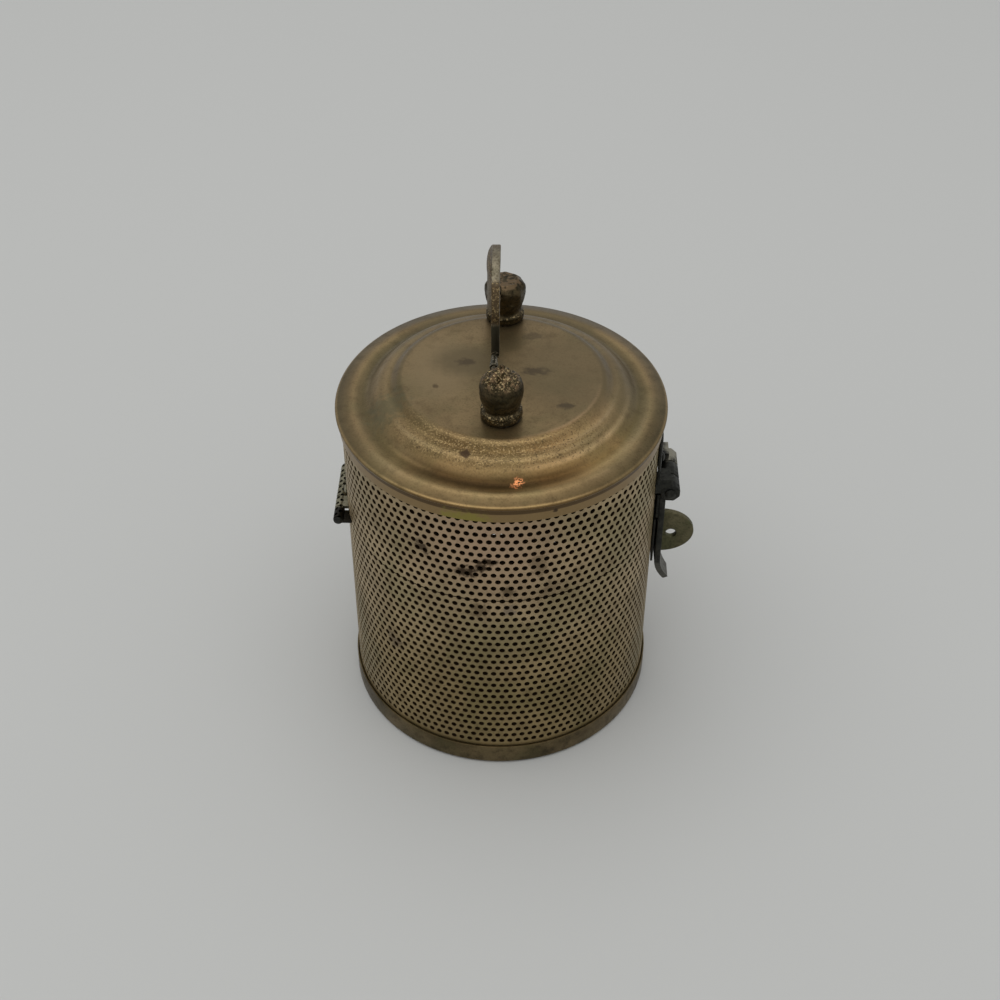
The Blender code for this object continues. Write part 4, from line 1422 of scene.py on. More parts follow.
@dataclass
class SideHinge:
    """The hinge on the -X side, rolled from the same perforated sheet."""

    x: float = -40.15 * MM
    y: float = -1.5 * MM
    length: float = 20.0 * MM
    knuckles: int = 5
    gap: float = 0.25 * MM
    radius: float = 1.25 * MM
    end_round: float = 0.08 * MM
    pin_radius: float = 0.6 * MM
    web_near: float = 0.12 * MM
    web_far: float = 1.05 * MM
    leaf_height: float = 8.0 * MM
    leaf_sheet: float = 0.7 * MM
    rivet_half: float = 4.0 * MM
    rivet_share: float = 0.62
    hole_radius: float = 0.5 * MM
    hole_pitch: float = 2.06 * MM
    hole_depth: float = 1.0 * MM
    hole_rows: tuple[int, ...] = (70, 120, 170, 220)

    def own_spans(self, tier: Tier) -> list[Point]:
        """Give the y range of each knuckle of one half."""
        spans = knuckle_spans(self.y, self.length, self.knuckles, self.gap)
        return spans[::2] if tier is Tier.BODY else spans[1::2]

    def notches(self, tier: Tier) -> tuple[Point, ...]:
        """Give the y range of each notch that the knuckles need in a wall."""
        room = SHELL.seat_gap
        return tuple((low - room, high + room) for low, high in self.own_spans(tier))

    def build(self, finishes: Finishes) -> None:
        """Make both halves, the pin and the rivets.

        Args:
            finishes: The materials by name.
        """
        reach = (self.y - self.length / 2, self.y + self.length / 2)
        for tier, up in ((Tier.BODY, -1), (Tier.LID, 1)):
            near = SHELL.seam + up * SHELL.seam_gap / 2
            z_range = tuple(sorted((near, near + up * self.leaf_height)))
            bm = curved_plate(SHELL.hidden_leaf, self.leaf_sheet, reach, z_range, -1)
            half = add_piece(f"hinge_{tier.value}_half", bm)
            for span in self.own_spans(tier):
                shape(half, self.knuckle(span, up), "UNION")
            bore = along_y(self.x, self.y, SHELL.seam)
            shape(half, tube(self.pin_radius + SHELL.seat_gap, self.length + MM, bore, 20))
            shape(half, self.perforation())
            dress(half, finishes["hinge"])
            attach(half, tier.value)
            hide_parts(f"hinge_leaf_{tier.value}")
            for number, y_side in enumerate((-1, 1), start=1):
                y = self.y + y_side * self.rivet_half
                z = SHELL.seam + up * self.leaf_height * self.rivet_share
                name = f"hinge_rivet_{tier.value}_{number}"
                rivet = Rivet(name, tier.value, y, z, -1, SHELL.wall_radius, SHELL.hidden_leaf)
                rivet.build(finishes["hinge"], "aged_brass")
        place = (self.x, self.y, SHELL.seam)
        build_pin("hinge_pin", place, self.length, self.pin_radius, "body", finishes["iron"])

    def knuckle(self, span: Point, up: int) -> Mesh:
        """Make one solid knuckle with the web that joins it to its leaf.

        Args:
            span: Its lowest and highest y.
            up: 1 for the lid's half and -1 for the body's.

        Returns:
            A closed mesh.
        """
        low, high = span
        near, far = self.web_near, self.web_far
        deepest = max(abs(low), abs(high))
        reach = -self.x - math.sqrt((SHELL.hidden_leaf + 0.3 * MM) ** 2 - deepest**2)
        start, end = math.asin(far / self.radius), FULL_TURN + math.asin(near / self.radius)
        outline = [*arc((0, 0), self.radius, start, end, 30), (reach, near), (reach, far)]
        outline = [(self.x + u, SHELL.seam + up * v) for u, v in outline]
        bm = slab(outline, high - low, along_y(0, (low + high) / 2, 0))
        soften(bm, self.end_round, 60)
        return bm

    def perforation(self) -> Mesh:
        """Make the cutters for the staggered rows of holes in the rolled sheet.

        Returns:
            A mesh of separate rods.
        """
        bm = bmesh.new()
        start = self.y - self.length / 2 - 0.1 * MM
        count = int(self.length / self.hole_pitch) + 2
        for row, degrees in enumerate(self.hole_rows):
            for i in range(count):
                y = start + (i + 0.5 * (row % 2)) * self.hole_pitch
                place = (
                    Matrix.Translation((self.x, y, SHELL.seam))
                    @ Matrix.Rotation(-math.radians(degrees), 4, "Y")
                    @ Matrix.Translation((self.radius, 0, 0))
                    @ Matrix.Rotation(QUARTER_TURN, 4, "Y")
                )
                bmesh.ops.create_cone(
                    bm,
                    cap_ends=True,
                    segments=10,
                    radius1=self.hole_radius,
                    radius2=self.hole_radius,
                    depth=self.hole_depth,
                    matrix=place,
                )
        return bm


def build_pin(
    node: str, place: Place, length: float, radius: float, body: str, material: Material
) -> None:
    """Make a hinge pin with peened ends.

    Args:
        node: CAD node that it stands for.
        place: Middle of the pin.
        length: Length of the barrel that it runs through.
        radius: Radius of the pin.
        body: Body that it rides on.
        material: Its finish.
    """
    half = length / 2 + 0.15 * MM
    head = 0.5 * MM
    end = [(0, half + head), (radius * 0.8, half + head), (radius + head, half + head * 0.4)]
    end += [(radius + head, half), (radius, half)]
    outline = rounded([*end, *[(r, -h) for r, h in reversed(end)]], 0.12 * MM)
    pin = add_piece(f"{node}_peened", lathe(outline, 24, along_y(*place)))
    dress(pin, material)
    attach(pin, body)
    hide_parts(node)


@dataclass
class Hasp:
    """The hasp leaf on the lid, and the slotted strap that hangs from it."""

    x: float = 41.9 * MM
    z: float = 65.5 * MM
    length: float = 15.0 * MM
    radius: float = 2.6 * MM
    corner_round: float = 0.3 * MM
    gap: float = 0.3 * MM
    pin_radius: float = 0.9 * MM
    leaf_top: float = 80.0 * MM
    leaf_sheet: float = 0.7 * MM
    rivet_z: float = 75.0 * MM
    rivet_half: float = 4.5 * MM
    strap_width: float = 10.0 * MM
    strap_thick: float = 1.5 * MM
    strap_x: float = 39.7 * MM
    strap_round: float = 0.2 * MM
    curl_z: float = 40.6 * MM
    curl_radius: float = 16.0 * MM
    curl_degrees: float = 35.0
    tail_top: float = 42.0 * MM
    tail_edge: float = 5.3 * MM
    tail_width: float = 4.0 * MM
    pad_x: float = 39.0 * MM
    pad_z: Point = (54.6 * MM, 62.4 * MM)
    pad_inset: float = 0.4 * MM
    pad_round: float = 0.15 * MM
    slot_half: float = 1.15 * MM
    slot_z: Point = (38.35 * MM, 54.65 * MM)
    inset: float = 0.1 * MM

    def build(self, finishes: Finishes) -> None:
        """Make the leaf, the strap, the pin and the rivets.

        Args:
            finishes: The materials by name.
        """
        iron = finishes["iron"]
        first, middle, last = knuckle_spans(0, self.length, 3, self.gap)
        self.build_leaf(iron, [first, last])
        self.build_strap(iron, middle)
        build_pin("hasp_pin", (self.x, 0, self.z), self.length, self.pin_radius, "lid", iron)
        face = SHELL.band_inner + self.leaf_sheet
        for number, side in enumerate((-1, 1), start=1):
            name, y = f"hasp_rivet_{number}", side * self.rivet_half
            Rivet(name, "lid", y, self.rivet_z, 1, face).build(iron, "dark_brass")

    def knuckle(self, low: float, high: float) -> Mesh:
        """Make one solid knuckle, filed to eight flats with worn corners.

        Args:
            low: Its lowest y.
            high: Its highest y.

        Returns:
            A closed mesh.
        """
        turn = Matrix.Rotation(math.radians(22.5), 4, "Z")
        place = along_y(self.x, (low + high) / 2, self.z) @ turn
        bm = tube(self.radius, high - low, place, 8)
        soften(bm, self.corner_round, 30)
        return bm

    def bore(self) -> Mesh:
        """Make the cutter for the pin's bore."""
        place = along_y(self.x, 0, self.z)
        return tube(self.pin_radius + SHELL.seat_gap, self.length + 2 * MM, place, 20)

    def build_leaf(self, material: Material, spans: list[Point]) -> None:
        """Make the leaf with its two outer knuckles.

        Args:
            material: Its finish.
            spans: The y range of each knuckle.
        """
        bottom = self.z + self.radius + self.gap
        reach, rise = (-self.length / 2, self.length / 2), (bottom, self.leaf_top)
        leaf = add_piece(
            "hasp_upper", curved_plate(SHELL.band_inner, self.leaf_sheet, reach, rise, 1)
        )
        for low, high in spans:
            web_low = (SHELL.band_inner - 0.9 * MM, low + self.inset, self.z)
            web = box(web_low, (self.x, high - self.inset, bottom + 1.4 * MM))
            shape(leaf, web, "UNION")
            shape(leaf, self.knuckle(low, high), "UNION")
        inside = SHELL.band_inner - 0.05 * MM
        shape(leaf, tube(inside, 2 * self.length, Matrix.Translation((0, 0, self.z)), 240))
        shape(leaf, self.bore())
        dress(leaf, material)
        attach(leaf, "lid")
        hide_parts("hasp_leaf")

    def build_strap(self, material: Material, span: Point) -> None:
        """Make the strap with its knuckle, slot, pad and curled tail.

        Args:
            material: Its finish.
            span: The y range of its knuckle.
        """
        top = self.z - self.radius - self.gap
        back, face, low, high = self.strap_x, self.strap_x + self.strap_thick, *span
        centre = (self.strap_x + self.strap_thick / 2 + self.curl_radius, self.curl_z)
        end = math.pi + math.radians(self.curl_degrees)
        half = self.strap_thick / 2
        inner = arc(centre, self.curl_radius + half, math.pi, end, 16)
        outer = arc(centre, self.curl_radius - half, end, math.pi, 16)
        outline = [(back, top), *inner, *outer, (face, top)]
        bm = slab(outline, self.strap_width, along_y(0, 0, 0))
        soften(bm, self.strap_round, 50)
        strap = add_piece("hasp_lower", bm)
        for side in (-1, 1):
            shape(strap, self.tail_cutter(side))
        slot_low = (back - MM, -self.slot_half, self.slot_z[0])
        shape(strap, box(slot_low, (face + MM, self.slot_half, self.slot_z[1])))
        half = self.strap_width / 2 - self.pad_inset
        pad = box((self.pad_x, -half, self.pad_z[0]), (back + 0.3 * MM, half, self.pad_z[1]))
        soften(pad, self.pad_round)
        shape(strap, pad, "UNION")
        web_low = (back + 0.15 * MM, low + self.inset, top - MM)
        web = box(web_low, (face - 0.15 * MM, high - self.inset, self.z))
        shape(strap, web, "UNION")
        shape(strap, self.knuckle(low, high), "UNION")
        shape(strap, self.bore())
        dress(strap, material)
        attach(strap, "hasp")
        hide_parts("hasp_strap")

    def tail_cutter(self, side: int) -> Mesh:
        """Make the wedge that narrows the tail at its +Y side (1) or its -Y side (-1).

        Args:
            side: 1 for the +Y side and -1 for the -Y side.

        Returns:
            A closed mesh.
        """
        end = self.curl_z - self.curl_radius * math.sin(math.radians(self.curl_degrees)) - MM
        corners = [(self.tail_edge, self.tail_top), (self.tail_width / 2, end)]
        corners += [(self.strap_width, end), (self.strap_width, self.tail_top)]
        turn = Matrix(((0, 0, 1, 0), (1, 0, 0, 0), (0, 1, 0, 0), (0, 0, 0, 1)))
        place = Matrix.Translation((self.strap_x, 0, 0)) @ turn
        return slab([(side * y, z) for y, z in corners], self.curl_radius, place)


@dataclass
class Staple:
    """The backing plate on the body and the eye for a padlock."""

    width: float = 8.4 * MM
    sheet: float = 0.6 * MM
    middle: float = 46.5 * MM
    reach: float = 7.25 * MM
    eye_half: float = 6.85 * MM
    eye_thick: float = 1.5 * MM
    eye_tip: float = 49.7 * MM
    eye_round: float = 0.22 * MM
    shoulder: float = 1.3 * MM
    hole: Point = (43.8 * MM, 45.95 * MM)
    hole_radius: float = 1.35 * MM
    tenon_height: float = 6.0 * MM
    tenon_room: float = 0.25 * MM
    rivet_half: float = 2.6 * MM
    rivet_head: float = 0.8 * MM
    sink_foot: float = 0.7 * MM

    def build(self, finishes: Finishes) -> None:
        """Make the plate, the eye and the rivets.

        Args:
            finishes: The materials by name.
        """
        middle, half = self.middle, self.width / 2
        z_range = (middle - self.reach, middle + self.reach)
        bm = curved_plate(SHELL.band_inner, self.sheet, (-half, half), z_range, 1)
        plate = add_piece("staple_backing", bm)
        rise, side = self.tenon_height / 2 + self.tenon_room, self.eye_thick / 2 + self.tenon_room
        shape(plate, box((37 * MM, -side, middle - rise), (42 * MM, side, middle + rise)))
        self.build_eye(finishes["olive"])
        sink = [(0, MM), (MM, MM), (MM, 0), (self.sink_foot, -self.sheet)]
        sink += [(self.sink_foot, -MM), (0, -MM)]
        for number, y_side in enumerate((-1, 1), start=1):
            face = SHELL.band_inner + self.sheet
            place = on_wall(y_side * self.rivet_half, face, middle, 1)
            shape(plate, lathe(sink, 24, place))
            self.build_rivet(f"staple_rivet_{number}", place, finishes["iron"])
        dress(plate, finishes["iron"])
        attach(plate, "body")
        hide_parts("staple_plate")

    def build_rivet(self, name: str, place: Matrix, material: Material) -> None:
        """Make one flush rivet.

        Args:
            name: CAD node that it stands for.
            place: Frame of its head.
            material: Its finish.
        """
        tail = SHELL.wall_radius - SHELL.wall_sheet - 0.15 * MM - SHELL.band_inner - self.sheet
        outline = [
            (0, -0.03 * MM),
            (self.rivet_head * 0.9, 0),
            (self.rivet_head, -0.05 * MM),
            (Rivet.shank_radius, -self.sheet),
            (Rivet.shank_radius, tail),
            (Rivet.tail_radius, tail),
            (Rivet.tail_round, tail - 0.3 * MM),
            (0, tail - 0.4 * MM),
        ]
        rivet = add_piece(f"{name}_flush", lathe(outline, 24, place))
        dress(rivet, material)
        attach(rivet, "body")
        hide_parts(name)

    def build_eye(self, material: Material) -> None:
        """Make the rounded eye with its hole and tenon.

        Args:
            material: Its finish.
        """
        middle, half, rise = self.middle, self.eye_half, self.tenon_height / 2
        root = SHELL.band_inner + self.sheet + SHELL.seat_gap
        centre = root + self.shoulder
        stretch = (self.eye_tip - centre) / half
        nose = arc((0, 0), half, -QUARTER_TURN, QUARTER_TURN, 40)
        tip = SHELL.wall_radius - SHELL.wall_sheet - 0.5 * MM
        outline = [
            (root, middle - half),
            *[(centre + x * stretch, middle + z) for x, z in nose],
            (root, middle + half),
            (root, middle + rise),
            (tip, middle + rise),
            (tip, middle - rise),
            (root, middle - rise),
        ]
        eye = add_piece("padlock_eye", slab(outline, self.eye_thick, along_y(0, 0, 0)))
        place = along_y(self.hole[0], 0, self.hole[1])
        shape(eye, tube(self.hole_radius, 4 * MM, place, 28))
        bevel = eye.modifiers.new("edges", "BEVEL")
        bevel.width = self.eye_round
        bevel.segments = 2
        bevel.limit_method = "ANGLE"
        bevel.angle_limit = math.radians(50)
        dress(eye, material)
        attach(eye, "body")
        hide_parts("staple_eye")


# Room


@dataclass
class Room:
    """Floor, lights and camera."""

    floor_colour: Colour = (0.575, 0.582, 0.568)
    world_light: float = 0.6
    lamp_place: Place = (-0.15, -0.1, 1.1)
    lamp_size: float = 1.2
    lamp_power: float = 4.2
    lamp_aim: Place = (0, 0, 0.05)
    sensor: float = 36.0
    lens: float = 36.0 * 1.51664
    shift: Point = (-0.06, -0.06)
    camera_place: Place = (6.0 * MM, -288.31 * MM, 313.96 * MM)
    camera_azimuth: float = 1.54198
    camera_fall: float = 0.68987
    camera_roll: float = 0.035015

    def build(self) -> None:
        """Set up everything that isn't the object."""
        self.build_floor()
        self.build_lights()
        self.build_camera()
        bpy.context.scene.view_settings.view_transform = "Standard"

    def build_floor(self) -> None:
        """Lay a wide pale floor."""
        bm = bmesh.new()
        bmesh.ops.create_grid(bm, x_segments=1, y_segments=1, size=6)
        floor = add_piece("floor", bm)
        material = bpy.data.materials.new("floor")
        material.use_nodes = True
        shader = material.node_tree.nodes["Principled BSDF"]
        shader.inputs["Base Color"].default_value = (*self.floor_colour, 1)
        shader.inputs["Roughness"].default_value = 0.9
        floor.data.materials.append(material)

    def build_lights(self) -> None:
        """Light the box with a pale room and one soft lamp overhead."""
        world = bpy.data.worlds.new("studio")
        world.use_nodes = True
        background = world.node_tree.nodes["Background"]
        background.inputs["Color"].default_value = (1.0, 1.0, 1.0, 1)
        background.inputs["Strength"].default_value = self.world_light
        bpy.context.scene.world = world
        light = bpy.data.lights.new("overhead", "AREA")
        light.size = self.lamp_size
        light.energy = self.lamp_power
        item = bpy.data.objects.new("overhead", light)
        bpy.context.scene.collection.objects.link(item)
        item.location = self.lamp_place
        aim = Vector(self.lamp_aim) - Vector(self.lamp_place)
        item.rotation_euler = aim.to_track_quat("-Z", "Y").to_euler()

    def build_camera(self) -> None:
        """Set the camera at the photograph's angle."""
        camera = bpy.data.cameras.new("camera")
        camera.sensor_width = self.sensor
        camera.lens = self.lens
        camera.shift_x, camera.shift_y = self.shift
        camera.clip_start, camera.clip_end = 0.01, 20
        item = bpy.data.objects.new("camera", camera)
        bpy.context.scene.collection.objects.link(item)
        item.matrix_world = (
            Matrix.Translation(self.camera_place)
            @ Matrix.Rotation(self.camera_azimuth - QUARTER_TURN, 4, "Z")
            @ Matrix.Rotation(QUARTER_TURN - self.camera_fall, 4, "X")
            @ Matrix.Rotation(self.camera_roll, 4, "Z")
        )
        bpy.context.scene.camera = item


# Finishes


def sheet_marks() -> tuple[Mark, ...]:
    """Give the dirt and stains on the perforated wall."""
    dirt_and_shade, stain, grey = (0.060, 0.038, 0.020), (0.14, 0.098, 0.052), (0.17, 0.14, 0.115)
    return (
        Stain((-7.6, -37.9, 67.4), 2.8, dirt_and_shade, 1.0, 0.5, (0.8, 0.8, 1.1)),
        Stain((-2.4, -38.6, 71.0), 2.2, dirt_and_shade, 1.0, 0.6, (0.6, 0.6, 1.5)),
        Stain((-4.0, -38.5, 69.2), 2.1, dirt_and_shade, 1.0, 0.5),
        Stain((2.3, -38.6, 61.7), 2.4, stain, 0.9, 0.5),
        Stain((-4.5, -38.4, 55.1), 3.2, stain, 0.75, 0.6),
        Stain((2.4, -38.6, 55.7), 2.6, grey, 0.6, 0.6),
        Stain((9.6, -37.5, 69.5), 3.4, stain, 0.55, 0.6, (1.2, 1.2, 0.7)),
        Stain((12.1, -36.7, 60.7), 4.6, stain, 0.4, 0.6),
        Stain((-25.8, -28.8, 34.4), 4.0, stain, 0.8, 0.6),
        Stain((-17.8, -34.3, 72.0), 2.4, dirt_and_shade, 0.9, 0.6),
    )


def cap_marks() -> tuple[Mark, ...]:
    """Give the skirt's colour, the painted shadow under the rim bead, and the smudges, pits and a
    bare coppery spot with a painted highlight on the cap.

    Returns:
        The marks, from the lowest layer up.
    """
    smudge, pit, red = (0.095, 0.07, 0.040), (0.050, 0.030, 0.016), (0.10, 0.035, 0.015)
    light, olive, copper_highlight = (0.275, 0.205, 0.110), (0.155, 0.118, 0.062), (0.85, 0.33, 0.13)
    skirt, rim_shadow, yellow = (0.29, 0.195, 0.088), (0.075, 0.045, 0.020), (0.27, 0.225, 0.055)
    back, green, disc = (0.135, 0.105, 0.062), (0.12, 0.115, 0.065), 95.6
    return (
        Belt(Axis.Z, 80, 88, skirt, 0.85, 0.1),
        # Painted shadow under the rim bead.
        Belt(Axis.Z, 86.5, 88.1, rim_shadow, 0.85, 0.12),
        Stain((0, 36, 91), 30, back, 0.55, 0.03, (0.55, 1.5, 1)),
        Stain((-7.8, -38.5, 84.4), 5.0, yellow, 0.95, 0.3, (0.6, 1, 1.6)),
        Stain((12.9, -37.1, 86.3), 0.8, pit, 0.9, 0.5),
        Stain((18.0, 2.0, disc), 22.0, olive, 0.55, 0.08),
        Stain((-15.0, 2.5, disc), 13.0, light, 0.75, 0.10, (1.2, 0.8, 1)),
        Stain((-8.5, 5.5, disc), 10.0, olive, 0.85, 0.10, (0.9, 1.2, 1)),
        Stain((-8.8, 5.1, disc), 2.6, smudge, 0.9, 0.4, (0.8, 1.3, 1)),
        Stain((7.8, 2.0, disc), 3.0, smudge, 0.9, 0.4, (0.7, 1.4, 1)),
        Stain((15.1, -11.3, disc), 2.0, smudge, 0.9, 0.4, (0.7, 1.3, 1)),
        Stain((7.7, 16.3, disc), 2.6, smudge, 0.6, 0.4, (0.7, 1.4, 1)),
        Stain((-15.5, -4.6, disc), 1.1, pit, 0.6, 0.6),
        Stain((-7.5, -26.7, 93.8), 1.5, pit, 0.95, 0.6),
        Stain((17.1, -30.0, 91.5), 0.9, red, 0.9, 0.5),
        Stain((20.9, -29.9, 91.5), 1.2, pit, 0.7, 0.6, (0.6, 1.6, 1)),
        # A bare coppery spot with a painted highlight, far brighter than the metal round it.
        Stain((4.1, -32.7, 90.0), 1.7, copper_highlight, 0.95, 0.5, (1, 1, 0.5), 0.7),
        Stain((-26.0, -10.0, 91.5), 7.0, green, 0.55, 0.4),
    )


# The painted highlights and shade of the cap's rings, partly grime in the hollow ring: share of the
# rim's radius, then red, green and blue

SIDE_RING_SHADING: Tones = (
    (0.000, 1.00, 1.00, 1.00),
    (0.575, 1.00, 1.00, 1.00),
    (0.590, 0.98, 0.98, 0.98),
    (0.606, 0.66, 0.68, 0.66),
    (0.645, 0.64, 0.63, 0.58),
    (0.672, 0.86, 0.86, 0.80),
    (0.692, 1.10, 1.10, 1.08),
    (0.722, 0.88, 0.87, 0.84),
    (0.750, 1.02, 1.00, 0.94),
    (0.785, 0.80, 0.82, 0.78),
    (0.830, 0.62, 0.66, 0.62),
    (0.862, 0.78, 0.80, 0.76),
    (0.890, 1.20, 1.20, 1.16),
    (0.908, 1.08, 1.06, 1.04),
    (0.930, 0.76, 0.76, 0.74),
    (0.965, 0.56, 0.58, 0.58),
    (0.982, 0.50, 0.53, 0.54),
    (0.992, 1.05, 1.05, 1.00),
    (1.000, 0.80, 0.78, 0.72),
)
SHOULDER_RING_SHADING: Tones = (
    (0.000, 1.00, 1.00, 1.00),
    (0.590, 1.00, 0.98, 0.95),
    (0.606, 0.74, 0.72, 0.68),
    (0.622, 0.76, 0.74, 0.68),
    (0.645, 0.78, 0.74, 0.64),
    (0.672, 0.84, 0.80, 0.70),
    (0.700, 0.98, 0.92, 0.82),
    (0.720, 1.22, 1.22, 1.22),
    (0.740, 0.98, 0.94, 0.88),
    (0.770, 1.12, 1.06, 0.96),
    (0.790, 1.06, 1.02, 0.96),
    (0.830, 0.72, 0.68, 0.56),
    (0.862, 1.00, 0.96, 0.80),
    (0.890, 1.10, 1.06, 0.92),
    (0.920, 1.38, 1.38, 1.38),
    (0.942, 1.05, 1.04, 1.02),
    (0.965, 0.82, 0.80, 0.74),
    (0.982, 0.66, 0.66, 0.62),
    (0.992, 1.20, 1.16, 1.05),
    (1.000, 0.80, 0.78, 0.72),
)
PAINTED_GLINT_TONES: Tones = (
    (0.000, 1.00, 1.00, 1.00),
    (0.575, 1.00, 1.00, 1.00),
    (0.592, 1.85, 1.70, 1.80),
    (0.610, 1.45, 1.35, 1.25),
    (0.660, 2.50, 2.40, 2.50),
    (0.682, 1.95, 1.95, 2.15),
    (0.700, 1.20, 1.18, 1.14),
    (0.740, 1.05, 1.04, 1.00),
    (0.760, 2.30, 2.30, 2.50),
    (0.780, 1.20, 1.15, 1.00),
    (0.820, 1.60, 1.45, 1.25),
    (0.868, 2.00, 2.00, 2.15),
    (0.900, 1.10, 1.10, 1.10),
    (0.925, 0.78, 0.76, 0.74),
    (1.000, 0.90, 0.90, 0.90),
)
FRONT_RING_SHADING: Tones = (
    (0.000, 1.00, 1.00, 1.00),
    (0.580, 1.00, 0.98, 0.94),
    (0.602, 0.80, 0.74, 0.66),
    (0.620, 0.88, 0.82, 0.72),
    (0.640, 0.46, 0.40, 0.30),
    (0.680, 0.52, 0.45, 0.34),
    (0.704, 0.80, 0.74, 0.64),
    (0.720, 1.10, 1.04, 0.96),
    (0.740, 0.78, 0.70, 0.58),
    (0.768, 1.38, 1.24, 1.04),
    (0.786, 1.00, 0.88, 0.72),
    (0.804, 0.36, 0.29, 0.20),
    (0.825, 0.22, 0.17, 0.11),
    (0.855, 0.42, 0.36, 0.25),
    (0.880, 0.92, 0.86, 0.70),
    (0.905, 1.10, 1.05, 0.92),
    (0.922, 1.26, 1.22, 1.12),
    (0.942, 0.82, 0.78, 0.70),
    (0.972, 0.58, 0.55, 0.49),
    (0.984, 0.55, 0.51, 0.44),
    (0.993, 1.45, 1.35, 1.15),
    (1.000, 0.60, 0.50, 0.38),
)


def bail_marks() -> tuple[Mark, ...]:
    """Give the handle's brown and gold crumbs, and the painted shade that blackens its front leg.

    Returns:
        The marks, from the lowest layer up.
    """
    rust, gold, black = (0.082, 0.052, 0.024), (0.42, 0.31, 0.15), (0.050, 0.046, 0.030)
    brown, pale = (0.12, 0.086, 0.045), (0.40, 0.34, 0.24)
    return (
        # Painted shade: the legs are painted near black from the foot up, and the brown belt next
        # gives the rear leg its colour back.
        Belt(Axis.Z, 100, 113.8, black, 0.95, 0.4),
        Belt(Axis.Y, 6.5, 30, brown, 0.95, 1.0),
        Belt(Axis.Z, 114.2, 124.0, rust, 0.85, 0.9),
        Belt(Axis.Z, 114.2, 124.5, gold, 0.70, 0.9, 0.46, 2400.0),
        Belt(Axis.Y, 7.5, 30, gold, 0.60, 0.6, 0.34, 2500.0),
        Belt(Axis.Z, 104.0, 106.6, pale, 0.80, 0.3, 0.50, 2000.0),
    )


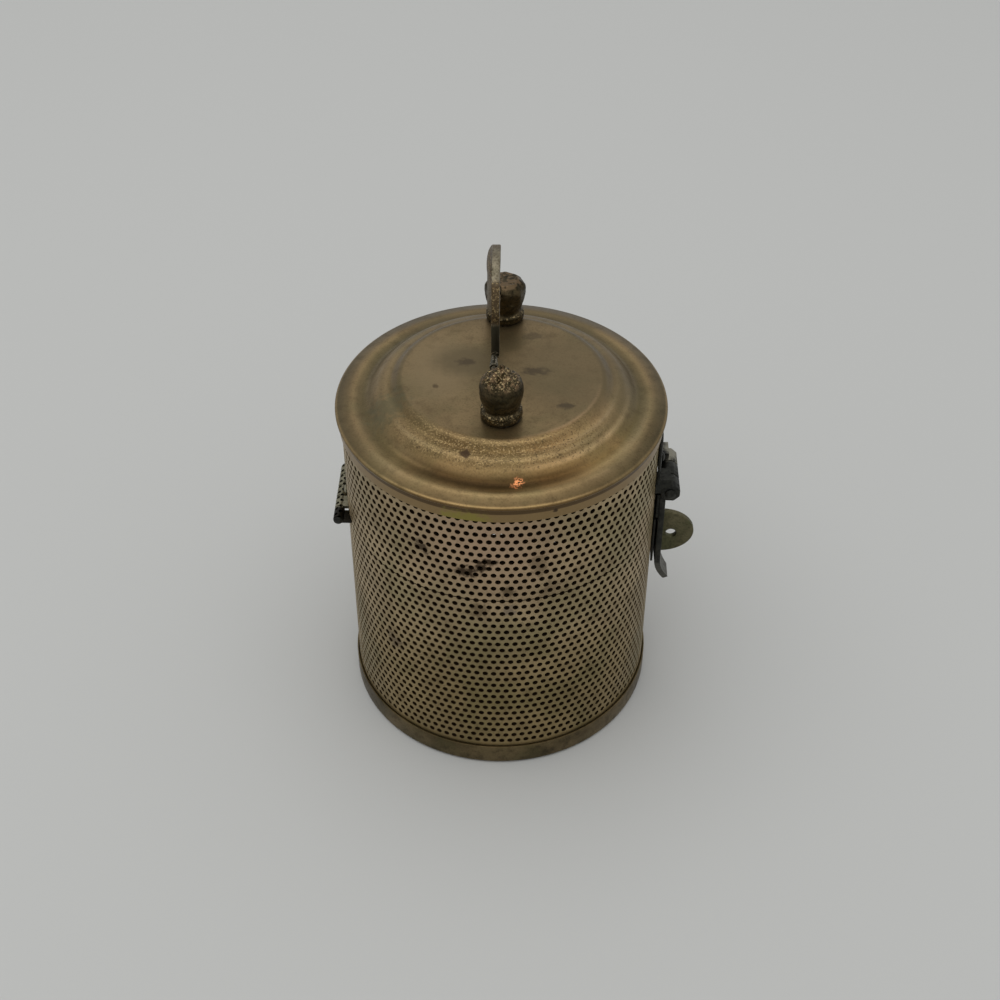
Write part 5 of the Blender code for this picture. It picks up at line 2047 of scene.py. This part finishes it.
def build_finishes() -> Finishes:
    """Make every material once.

    Returns:
        The materials by name.
    """
    build_speckle_group()
    build_tarnish_group()
    black, gold, bronze = (0.012, 0.010, 0.008), (0.50, 0.38, 0.20), (0.20, 0.13, 0.07)
    foot = Belt(Axis.Z, 95.8, 96.3, black, 0.8, 0.3)
    cast_look = {
        "body": (0.038, 0.029, 0.013),
        "bright": (0.086, 0.063, 0.031),
        "dark": (0.014, 0.011, 0.006),
        "green": (0.045, 0.042, 0.020),
        "blotch_scale": 260,
        "dark_amount": 0.7,
        "grain_scale": 1500,
        "grain_amount": 0.5,
        "smooth": 0.30,
        "rough": 0.6,
        "bump": 0.6,
        "bump_depth": 0.18 * MM,
    }
    front_marks = (
        Belt(Axis.Z, 105.6, 115, bronze, 0.7, 0.6, 0.6, 900.0),
        Belt(Axis.Z, 106.0, 109.5, gold, 0.90, 0.8, 0.42, 2300.0),
        Belt(Axis.Z, 96.7, 98.4, gold, 0.62, 0.4, 0.46, 2000.0),
        foot,
    )
    rear_marks = (
        Belt(Axis.Z, 106.0, 115, (0.20, 0.135, 0.075), 0.7, 0.3, 0.8, 700.0),
        Belt(Axis.Z, 96.7, 98.2, gold, 0.50, 0.3, 0.42, 1900.0),
        foot,
    )
    finishes = {
        "sheet": SheetFinish(
            "sheet_brass",
            body=(0.355, 0.272, 0.155),
            bright=(0.45, 0.345, 0.20),
            dark=(0.15, 0.11, 0.058),
            green=(0.275, 0.235, 0.118),
            blotch_scale=60,
            dark_amount=0.35,
            green_amount=0.6,
            grain_amount=0.30,
            smooth=0.36,
            rough=0.60,
            marks=sheet_marks(),
        ),
        "cap": CapFinish(
            "cap_brass",
            body=(0.228, 0.164, 0.082),
            bright=(0.275, 0.20, 0.102),
            dark=(0.080, 0.054, 0.027),
            green=(0.175, 0.145, 0.070),
            blotch_scale=70,
            dark_amount=0.28,
            green_amount=0.45,
            grain_scale=2200,
            grain_amount=0.28,
            smooth=0.30,
            rough=0.52,
            marks=cap_marks(),
            side=SIDE_RING_SHADING,
            shoulder=SHOULDER_RING_SHADING,
            front=FRONT_RING_SHADING,
            glints=PAINTED_GLINT_TONES,
        ),
        "pan": BrassFinish(
            "pan_brass",
            body=(0.090, 0.066, 0.031),
            bright=(0.175, 0.130, 0.064),
            dark=(0.026, 0.018, 0.009),
            green=(0.095, 0.082, 0.034),
            green_amount=0.5,
            smooth=0.34,
            rough=0.58,
        ),
        "front": BrassFinish("front_knob_brass", marks=front_marks, **cast_look),
        "rear": BrassFinish("rear_knob_brass", marks=rear_marks, **cast_look),
        "bail": BrassFinish(
            "bail_brass",
            body=(0.168, 0.145, 0.100),
            bright=(0.245, 0.215, 0.152),
            dark=(0.06, 0.048, 0.03),
            green=(0.15, 0.14, 0.085),
            blotch_scale=300,
            dark_amount=0.6,
            grain_scale=1700,
            grain_amount=0.5,
            smooth=0.32,
            rough=0.6,
            bump=0.45,
            bump_depth=0.12 * MM,
            marks=bail_marks(),
        ),
        "iron": BrassFinish(
            "blackened_brass",
            body=(0.010, 0.0105, 0.008),
            bright=(0.030, 0.0295, 0.022),
            dark=(0.005, 0.005, 0.004),
            green=(0.020, 0.021, 0.014),
            blotch_scale=220,
            dark_amount=0.6,
            grain_scale=1300,
            grain_amount=0.45,
            smooth=0.36,
            rough=0.7,
            bump=0.6,
            bump_depth=0.15 * MM,
            metallic=0.6,
            marks=(
                Stain((43, 6, 68.5), 4.6, (0.30, 0.285, 0.225), 0.9, 0.35),
                Belt(Axis.Z, 20, 38.5, (0.135, 0.130, 0.108), 0.6, 1.0),
            ),
        ),
        "olive": BrassFinish(
            "olive_brass",
            body=(0.095, 0.086, 0.045),
            bright=(0.148, 0.132, 0.074),
            dark=(0.035, 0.031, 0.017),
            green=(0.085, 0.088, 0.042),
            blotch_scale=150,
            green_amount=0.6,
            grain_scale=1600,
            grain_amount=0.35,
            smooth=0.38,
            rough=0.6,
        ),
        "hinge": BrassFinish(
            "rolled_sheet_brass",
            body=(0.20, 0.185, 0.125),
            bright=(0.29, 0.27, 0.19),
            dark=(0.05, 0.042, 0.028),
            green=(0.16, 0.16, 0.09),
            blotch_scale=200,
            smooth=0.34,
            rough=0.55,
            marks=(Belt(Axis.Y, -20, -8.0, black, 0.96, 0.5),),
        ),
    }
    return {name: finish.material() for name, finish in finishes.items()}


def dress_kept_nodes(finishes: Finishes) -> None:
    """Give the CAD nodes that stay in view their finish."""
    for name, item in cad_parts.items():
        if name.endswith(("_nut", "_washer")):
            item.data.materials.clear()
            item.data.materials.append(finishes["pan"])


def main() -> None:
    """Build the box, its finishes and the room."""
    logging.basicConfig(level=logging.INFO, format="%(name)s: %(message)s")
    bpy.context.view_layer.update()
    finishes = build_finishes()
    BasePan().build(finishes["pan"])
    hinge = SideHinge()
    for tier in Tier:
        PerforatedWall(tier, notches=hinge.notches(tier)).build(finishes["sheet"])
    LidCap().build(finishes["cap"])
    Knob.front().build(finishes["front"])
    Knob.rear().build(finishes["rear"])
    BailHandle().build(finishes["bail"])
    hinge.build(finishes)
    Hasp().build(finishes)
    Staple().build(finishes)
    dress_kept_nodes(finishes)
    Room().build()
    bpy.context.view_layer.update()


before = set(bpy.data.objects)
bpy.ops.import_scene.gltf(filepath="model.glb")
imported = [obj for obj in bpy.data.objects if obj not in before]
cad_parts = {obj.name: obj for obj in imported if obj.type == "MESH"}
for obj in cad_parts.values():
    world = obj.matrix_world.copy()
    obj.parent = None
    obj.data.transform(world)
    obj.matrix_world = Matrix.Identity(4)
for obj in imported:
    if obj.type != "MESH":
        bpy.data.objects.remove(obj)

if __name__ == "__main__":
    main()
